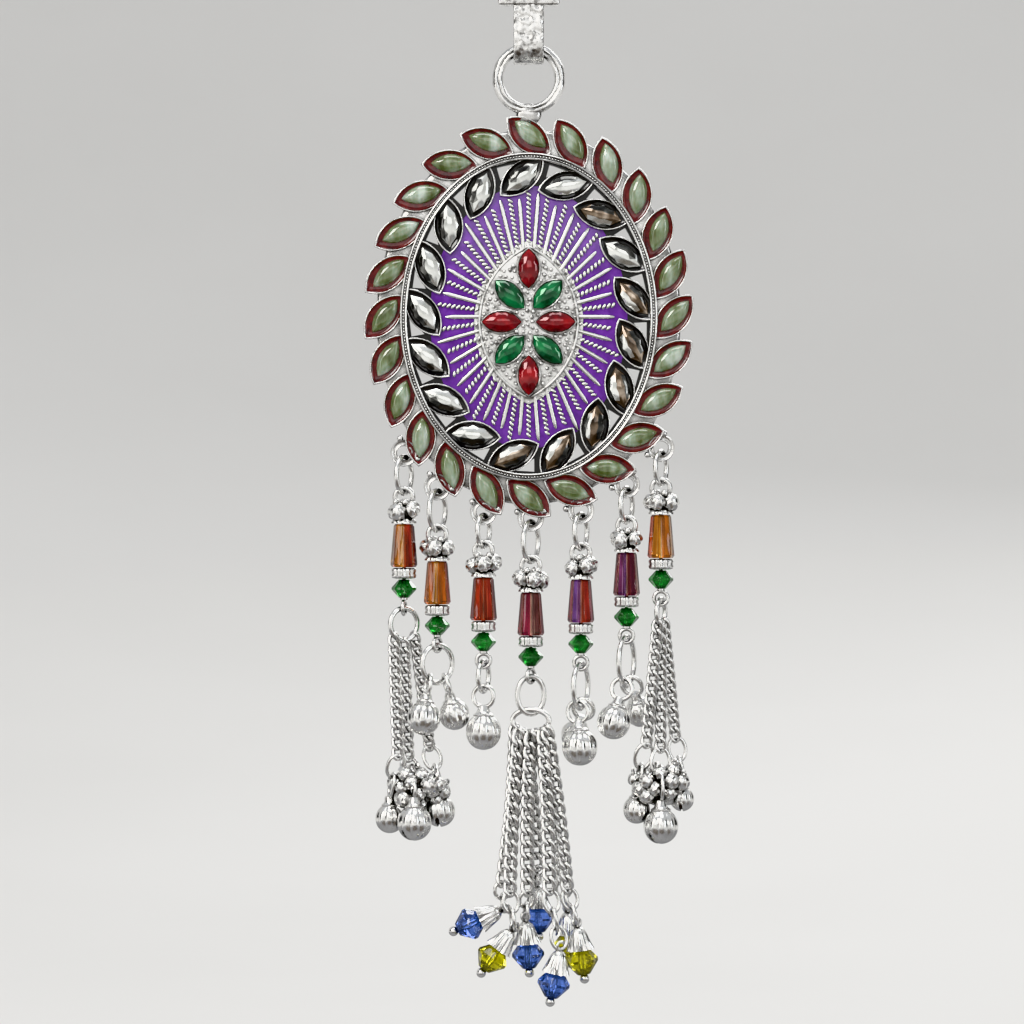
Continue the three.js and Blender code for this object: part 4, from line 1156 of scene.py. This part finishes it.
def bell_body(radius, sides=120):
    """A ribbed bell with its neck's top at the origin. Faces in the slit have the second finish, a painted
    shade.
    """
    middle = -BELL_NECK - BELL_DROP * radius
    slit = BELL_SLIT["half_width"] * radius
    rows = [(radius * math.sin(angle), middle - radius * math.cos(angle))
            for angle in np.linspace(0, math.pi * 0.8, 30)]
    rows += [(share * radius + lip, middle + rise * radius) for share, lip, rise in BELL_SHOULDER]
    rows += BELL_NECK_PROFILE

    def rib(angle, height):
        share = max(0.0, 1 - ((height - middle) / radius) ** 2)
        return 1 - BELL_RIBS["depth"] * share * (1 - abs(math.cos(BELL_RIBS["count"] * angle / 2)))

    def below(y):
        return (middle - y) / radius > BELL_SLIT["below"]

    shape = turned(rows, sides, rib)
    for i, (x, y, z) in enumerate(shape.points):
        if below(y) and abs(z) < slit and abs(x) < BELL_SLIT["reach"] * radius:
            shape.points[i] = (x * BELL_SLIT["sunk_to"], middle + (y - middle) * BELL_SLIT["sunk_to"], z)
    # Faces sunk in the slit are marked for the painted shade.
    shape.marks = []
    for face in shape.faces:
        x, y, z = shape.points[list(face)].mean(0)
        sunk = math.dist((x, y), (0, middle)) < BELL_SLIT["dark"] * radius
        shape.marks.append(int(below(y) and sunk and abs(z) < slit * BELL_SLIT["dark_width"]))
    return shape


def ring_point(across, up, turn, hang):
    """A point on a turned ring, in degrees from its bottom."""
    point = np.array((across * math.sin(math.radians(hang)), -up * math.cos(math.radians(hang)), 0))
    return turn_about("Y", turn) @ point


def ring_under(number, up):
    """Middle of a ring that hangs in the lower eye of a string."""
    x, y = LUGS[number - 1]
    return x, y + string_heights(STRINGS[number - 1]["bead"])["hang"] - up


for number, row in BELL_RINGS.items():
    x, ring_y = ring_under(number, row["ring"])
    ring = round_ring(row["ring"], JUMP_WIRE, row["turn"] + row["slew"])
    pendant_piece(f"bell_ring_{number}", [moved(ring, x, ring_y)], [bright_silver], crease=60)
    shank = round_ring(SHANK["radius"], SHANK["wire"], row["turn"] + 90)
    for name, (hang, radius, lean, pitch) in row["bells"].items():
        hung = ring_point(row["ring"], row["ring"], row["turn"], hang)
        body = moved(bell_body(radius), y=-SHANK["below"] - SHANK["radius"])
        turn = turn_about("X", -pitch) @ turn_about("Z", lean)
        bell = moved(joined([moved(shank, y=-SHANK["below"]), body]),
                     x + hung[0], ring_y + hung[1], hung[2], turn=turn)
        pendant_piece(f"bell_{number}{name}", [bell], [bright_silver, bell_slit_painted_shade], crease=45,
                      nodes=[f"drop_{number}_bell_{name}"])


# Outer tassels: three fine curb chains on one ring at each side, every chain ending in jump rings and a
# ribbed bell, with a crowd of tiny bells packed round those rings.
FINE_CURB = {"half_length": 1.3, "half_width": 0.8, "wire": 0.39}
SIDE_TASSELS = {
    1: {"ring": 3.0, "turn": 35, "name": "left", "crowd": (-20.6, -87.6, -0.6), "chains": [
        (-50, (-24.3, -81.8, 1.0), (-25.9, -93.4, -1.5), 2.75),
        (0, (-22.4, -82.4, -2.4), (-21.2, -93.9, 2.0), 3.3),
        (50, (-18.5, -80.5, -4.6), (-16.6, -92.1, -2.2), 2.95)]},
    7: {"ring": 2.5, "turn": 70, "name": "right", "crowd": (24.2, -87.2, 0.2), "chains": [
        (-50, (21.8, -79.6, 1.4), (20.1, -91.7, -0.6), 2.6),
        (0, (24.5, -80.5, 0.6), (24.5, -94.5, 2.0), 3.3),
        (50, (27.4, -78.7, -1.8), (28.6, -89.8, -1.8), 2.3)]},
}
SIDE_BELL_SLEW = 40
JOINING_RINGS = {"count": 2, "across": 1.7, "wire": 0.36, "above_neck": 0.6}
CROWD = {"count": 20, "reach": (5.0, 3.1, 2.6), "hollow": 0.45, "sizes": (1.2, 1.8), "apart": 1.9}
CROWD_EYE = {"radius": 0.55, "wire": 0.24, "above": 0.3}
CROWD_LEAN = {"Z": 50, "X": 40}

chain_silver = silver_finish("chain_silver", (0.2, 0.196, 0.188), (0.14, 0.3), 0.00002)


def curb_link(size, steps=26, sides=8):
    """One link along the upright axis, twisted a quarter turn from end to end so that neighbours nest."""
    angles = np.linspace(0, 2 * math.pi, steps, endpoint=False)
    twist = math.pi / 4 * np.cos(angles)
    out = size["half_width"] * np.sign(np.sin(angles)) * np.abs(np.sin(angles)) ** 0.8
    path = np.stack([out * np.cos(twist), size["half_length"] * np.cos(angles), out * np.sin(twist)], 1)
    return swept(path, round_section(size["wire"], sides), closed=True)


def smooth_route(points, steps=60):
    """A curve through three points."""
    a, b, c = (np.asarray(p, float) for p in points)
    middle = 2 * b - (a + c) / 2
    share = np.linspace(0, 1, steps)[:, None]
    return (1 - share) ** 2 * a + 2 * share * (1 - share) * middle + share ** 2 * c


def along_route(route, gap, look=0.3):
    """Places and headings at equal spacing along a route."""
    run = np.concatenate([[0], np.cumsum(np.linalg.norm(np.diff(route, axis=0), axis=1))])

    def place(distance):
        return np.array([np.interp(distance, run, route[:, k]) for k in range(3)])

    count = max(1, int(run[-1] / gap))
    for distance in (np.arange(count) + 0.5) * run[-1] / count:
        up = place(max(distance - look, 0)) - place(min(distance + look, run[-1]))
        yield place(distance), up / np.linalg.norm(up)


def aligned(up):
    """Turn that brings the upright axis to a direction, keeping the right side to the right."""
    right = np.array((1.0, 0, 0)) - up * up[0]
    right /= np.linalg.norm(right)
    return np.stack([right, up, np.cross(right, up)], 1)


def curb_chain(route, size):
    link = curb_link(size)
    pitch = 2 * size["half_length"] - 2 * size["wire"]
    return [moved(link, *here, turn=aligned(up)) for here, up in along_route(route, pitch)]


def rings_between(start, end, count, across, wire):
    """A row of oval jump rings from one point to another, each turned to pass through the last."""
    start, end = np.asarray(start, float), np.asarray(end, float)
    span = np.linalg.norm(end - start)
    half_length = (span / count + 2.2 * wire) / 2
    turn = aligned((start - end) / span)
    made = []
    for i in range(count):
        middle = start + (end - start) * (i + 0.5) / count
        ring = wire_ring(max(across, 0.7 * half_length), half_length, wire, 20 + 80 * (i % 2))
        made.append(moved(ring, *middle, turn=turn))
    return made


def crowd_of_bells(middle):
    """Tiny bells with their wire eyes, packed round the jump rings at the foot of the chains."""
    made, taken = [], []
    while len(taken) < CROWD["count"]:
        place = np.array([jitter.uniform(-1, 1) for _ in range(3)])
        if not CROWD["hollow"] < np.linalg.norm(place) < 1:
            continue
        place = place * CROWD["reach"]
        if any(np.linalg.norm(place - other) < CROWD["apart"] for other in taken):
            continue
        taken.append(place)
        size = jitter.uniform(*CROWD["sizes"])
        turn = jitter.uniform(0, 180)
        eye = round_ring(CROWD_EYE["radius"], CROWD_EYE["wire"], turn, 16, 6)
        bell = joined([tiny_bell(size), moved(eye, y=size + CROWD_EYE["above"])])
        lean = np.eye(3)
        for axis, most in CROWD_LEAN.items():
            lean = lean @ turn_about(axis, jitter.uniform(-most, most))
        made.append(moved(bell, *(place + middle), turn=lean))
    return made


for number, row in SIDE_TASSELS.items():
    x, ring_y = ring_under(number, row["ring"])
    links = [moved(round_ring(row["ring"], JUMP_WIRE, row["turn"]), x, ring_y)]
    bells = []
    for k, (hang, end, bell, radius) in enumerate(row["chains"]):
        top = ring_point(row["ring"], row["ring"], row["turn"], hang) + (x, ring_y, 0)
        links += curb_chain(smooth_route([top, (top + np.array(end)) / 2, end]), FINE_CURB)
        neck = np.array((bell[0], bell[1] + BELL_NECK + BELL_DROP * radius, bell[2]))
        links += rings_between(end, neck + (0, JOINING_RINGS["above_neck"], 0), JOINING_RINGS["count"],
                               JOINING_RINGS["across"], JOINING_RINGS["wire"])
        bells.append(moved(bell_body(radius), *neck, turn=turn_about("Y", SIDE_BELL_SLEW * k)))
    bells += crowd_of_bells(row["crowd"])
    pendant_piece(f"side_chains_{row['name']}", links, [chain_silver], crease=60,
                  nodes=[f"drop_{number}_tassel"])
    pendant_piece(f"side_bells_{row['name']}", bells, [bright_silver, bell_slit_painted_shade], crease=45)


# Centre tassel: an upright ring and a wide ring on the middle string carry seven curb chains. Each chain ends
# in jump rings and a flared, fluted cap over a glass bicone on a ball-headed pin.
CURB = {"half_length": 1.56, "half_width": 0.92, "wire": 0.46}
MIDDLE_STRING = 4
UPPER_RING = {"across": 2.55, "up": 3.5, "wire": JUMP_WIRE, "turn": 12}
LOWER_RING = {"across": 3.5, "up": 2.1, "wire": JUMP_WIRE, "turn": -14}
LOWER_RING_LAP = 0.85
CHAIN_TOP = {"offset": 1.05, "drop": 0.2}
TIP_RINGS = {"across": 1.5, "wire": 0.36}
LONG_JOIN = 9
TIP_CAP = {"top": 1.35, "bottom": 2.4, "length": 3.6, "cover": 0.75, "flare": 1.35, "flutes": 14,
           "depth": 0.1}
TIP_EYE = {"radius": 0.8, "wire": 0.3, "turn": 30, "above_cap": 0.75, "hung_at": 0.5}
TIP_BEAD = {"radius": 3.0, "height": 5.2}
TIP_PIN = {"radius": 0.34, "into_cap": 0.3, "ball": 0.92, "ball_sunk": 0.1}
STRANDS = {
    "a": {"glass": "blue", "hang": -60, "side": -1, "bow": 0.5, "lean": -66,
          "end": (-5.0, -105.6, -1.5), "bead": (-10.9, -113.1, -1.9)},
    "b": {"glass": "yellow", "hang": -40, "side": 1, "bow": -0.3, "lean": -36,
          "end": (-3.5, -107.1, 1.2), "bead": (-6.8, -119.0, 1.5)},
    "c": {"glass": "blue", "hang": 0, "side": 1, "bow": -0.3, "lean": 4,
          "end": (-0.2, -107.1, 0.4), "bead": (-0.1, -118.7, -1.2)},
    "d": {"glass": "blue", "hang": -20, "side": -1, "bow": 0.3, "lean": 2,
          "end": (1.6, -103.0, -4.5), "bead": (1.8, -112.5, -5.6)},
    "e": {"glass": "blue", "hang": 40, "side": 1, "bow": 0.3, "lean": -11,
          "end": (3.8, -106.6, 2.9), "bead": (4.6, -123.5, 3.6)},
    "f": {"glass": "yellow", "hang": 20, "side": -1, "bow": 0.3, "lean": 3,
          "end": (6.4, -105.6, -5.5), "bead": (7.7, -117.7, -6.9)},
    "g": {"glass": "yellow", "hang": 60, "side": 1, "bow": 0.3, "lean": 8,
          "end": (7.2, -106.6, 0.5), "bead": (9.9, -119.6, 0.6)},
}

tip_glass = {
    "blue": glass_finish("blue_glass", (0.12, 0.22, 0.66), 0.97, (0.6, 1.5)),
    "yellow": glass_finish("yellow_glass", (0.6, 0.56, 0.02), 0.97, (0.6, 1.3)),
}


def flared_cap(foot, head):
    """A fluted cap with a round shoulder that flares to a scalloped foot."""
    span = head - foot
    rows = [(0.4, foot + 0.15), (TIP_CAP["bottom"] - 0.35, foot + 0.1)]
    for share in np.linspace(0, 1, 14):
        flare = TIP_CAP["top"] + (TIP_CAP["bottom"] - TIP_CAP["top"]) * (1 - share) ** TIP_CAP["flare"]
        rows.append((flare * min(1.0, math.sqrt(1.08 - share ** 6)), foot + span * share))
    rows.append((0, head + 0.12))

    def flute(angle, height):
        return 1 + TIP_CAP["depth"] * (head + 0.2 - height) / span * math.cos(TIP_CAP["flutes"] * angle)

    return turned(rows, 84, flute)


drop_x, upper_y = ring_under(MIDDLE_STRING, UPPER_RING["up"])
lower_y = upper_y - UPPER_RING["up"] + LOWER_RING_LAP - LOWER_RING["up"]
tassel = [moved(wire_ring(**UPPER_RING), drop_x, upper_y), moved(wire_ring(**LOWER_RING), drop_x, lower_y)]
cap_foot = TIP_BEAD["height"] / 2 + STACK_GAP
cap_head = cap_foot + TIP_CAP["length"]
ball_y = -TIP_BEAD["height"] / 2 - TIP_PIN["ball"] + TIP_PIN["ball_sunk"]
tip_eye = round_ring(TIP_EYE["radius"], TIP_EYE["wire"], TIP_EYE["turn"])
tip_metal = joined([
    flared_cap(cap_foot - TIP_CAP["cover"], cap_head),
    moved(tip_eye, y=cap_head + TIP_EYE["above_cap"]),
    rod(TIP_PIN["radius"], ball_y, cap_foot + TIP_PIN["into_cap"], 10),
    ball(0, ball_y, 0, TIP_PIN["ball"], 18),
])
tip_bead = cut_bicone(**TIP_BEAD)
caps = []
for name, strand in STRANDS.items():
    top = ring_point(LOWER_RING["across"], LOWER_RING["up"], LOWER_RING["turn"], strand["hang"])
    top = top + (drop_x, lower_y - CHAIN_TOP["drop"], strand["side"] * CHAIN_TOP["offset"])
    end, bead = np.array(strand["end"]), np.array(strand["bead"])
    lean = turn_about("Z", strand["lean"])
    tassel += curb_chain(smooth_route([top, (top + end) / 2 + (strand["bow"], 0, 0), end]), CURB)
    head = bead + lean @ np.array((0, cap_head + TIP_EYE["hung_at"], 0))
    count = 3 if np.linalg.norm(end - head) > LONG_JOIN else 2
    tassel += rings_between(end, head, count, **TIP_RINGS)
    caps.append(moved(tip_metal, *bead, turn=lean))
    pendant_piece(f"tip_bead_{name}", [moved(tip_bead, *bead, turn=lean)], [tip_glass[strand["glass"]]],
                  crease=4, nodes=[f"tassel_tip_{name}"])
pendant_piece("tassel_chains", tassel, [chain_silver], crease=60, nodes=["centre_tassel"])
pendant_piece("tassel_caps", caps, [bright_silver], crease=50)
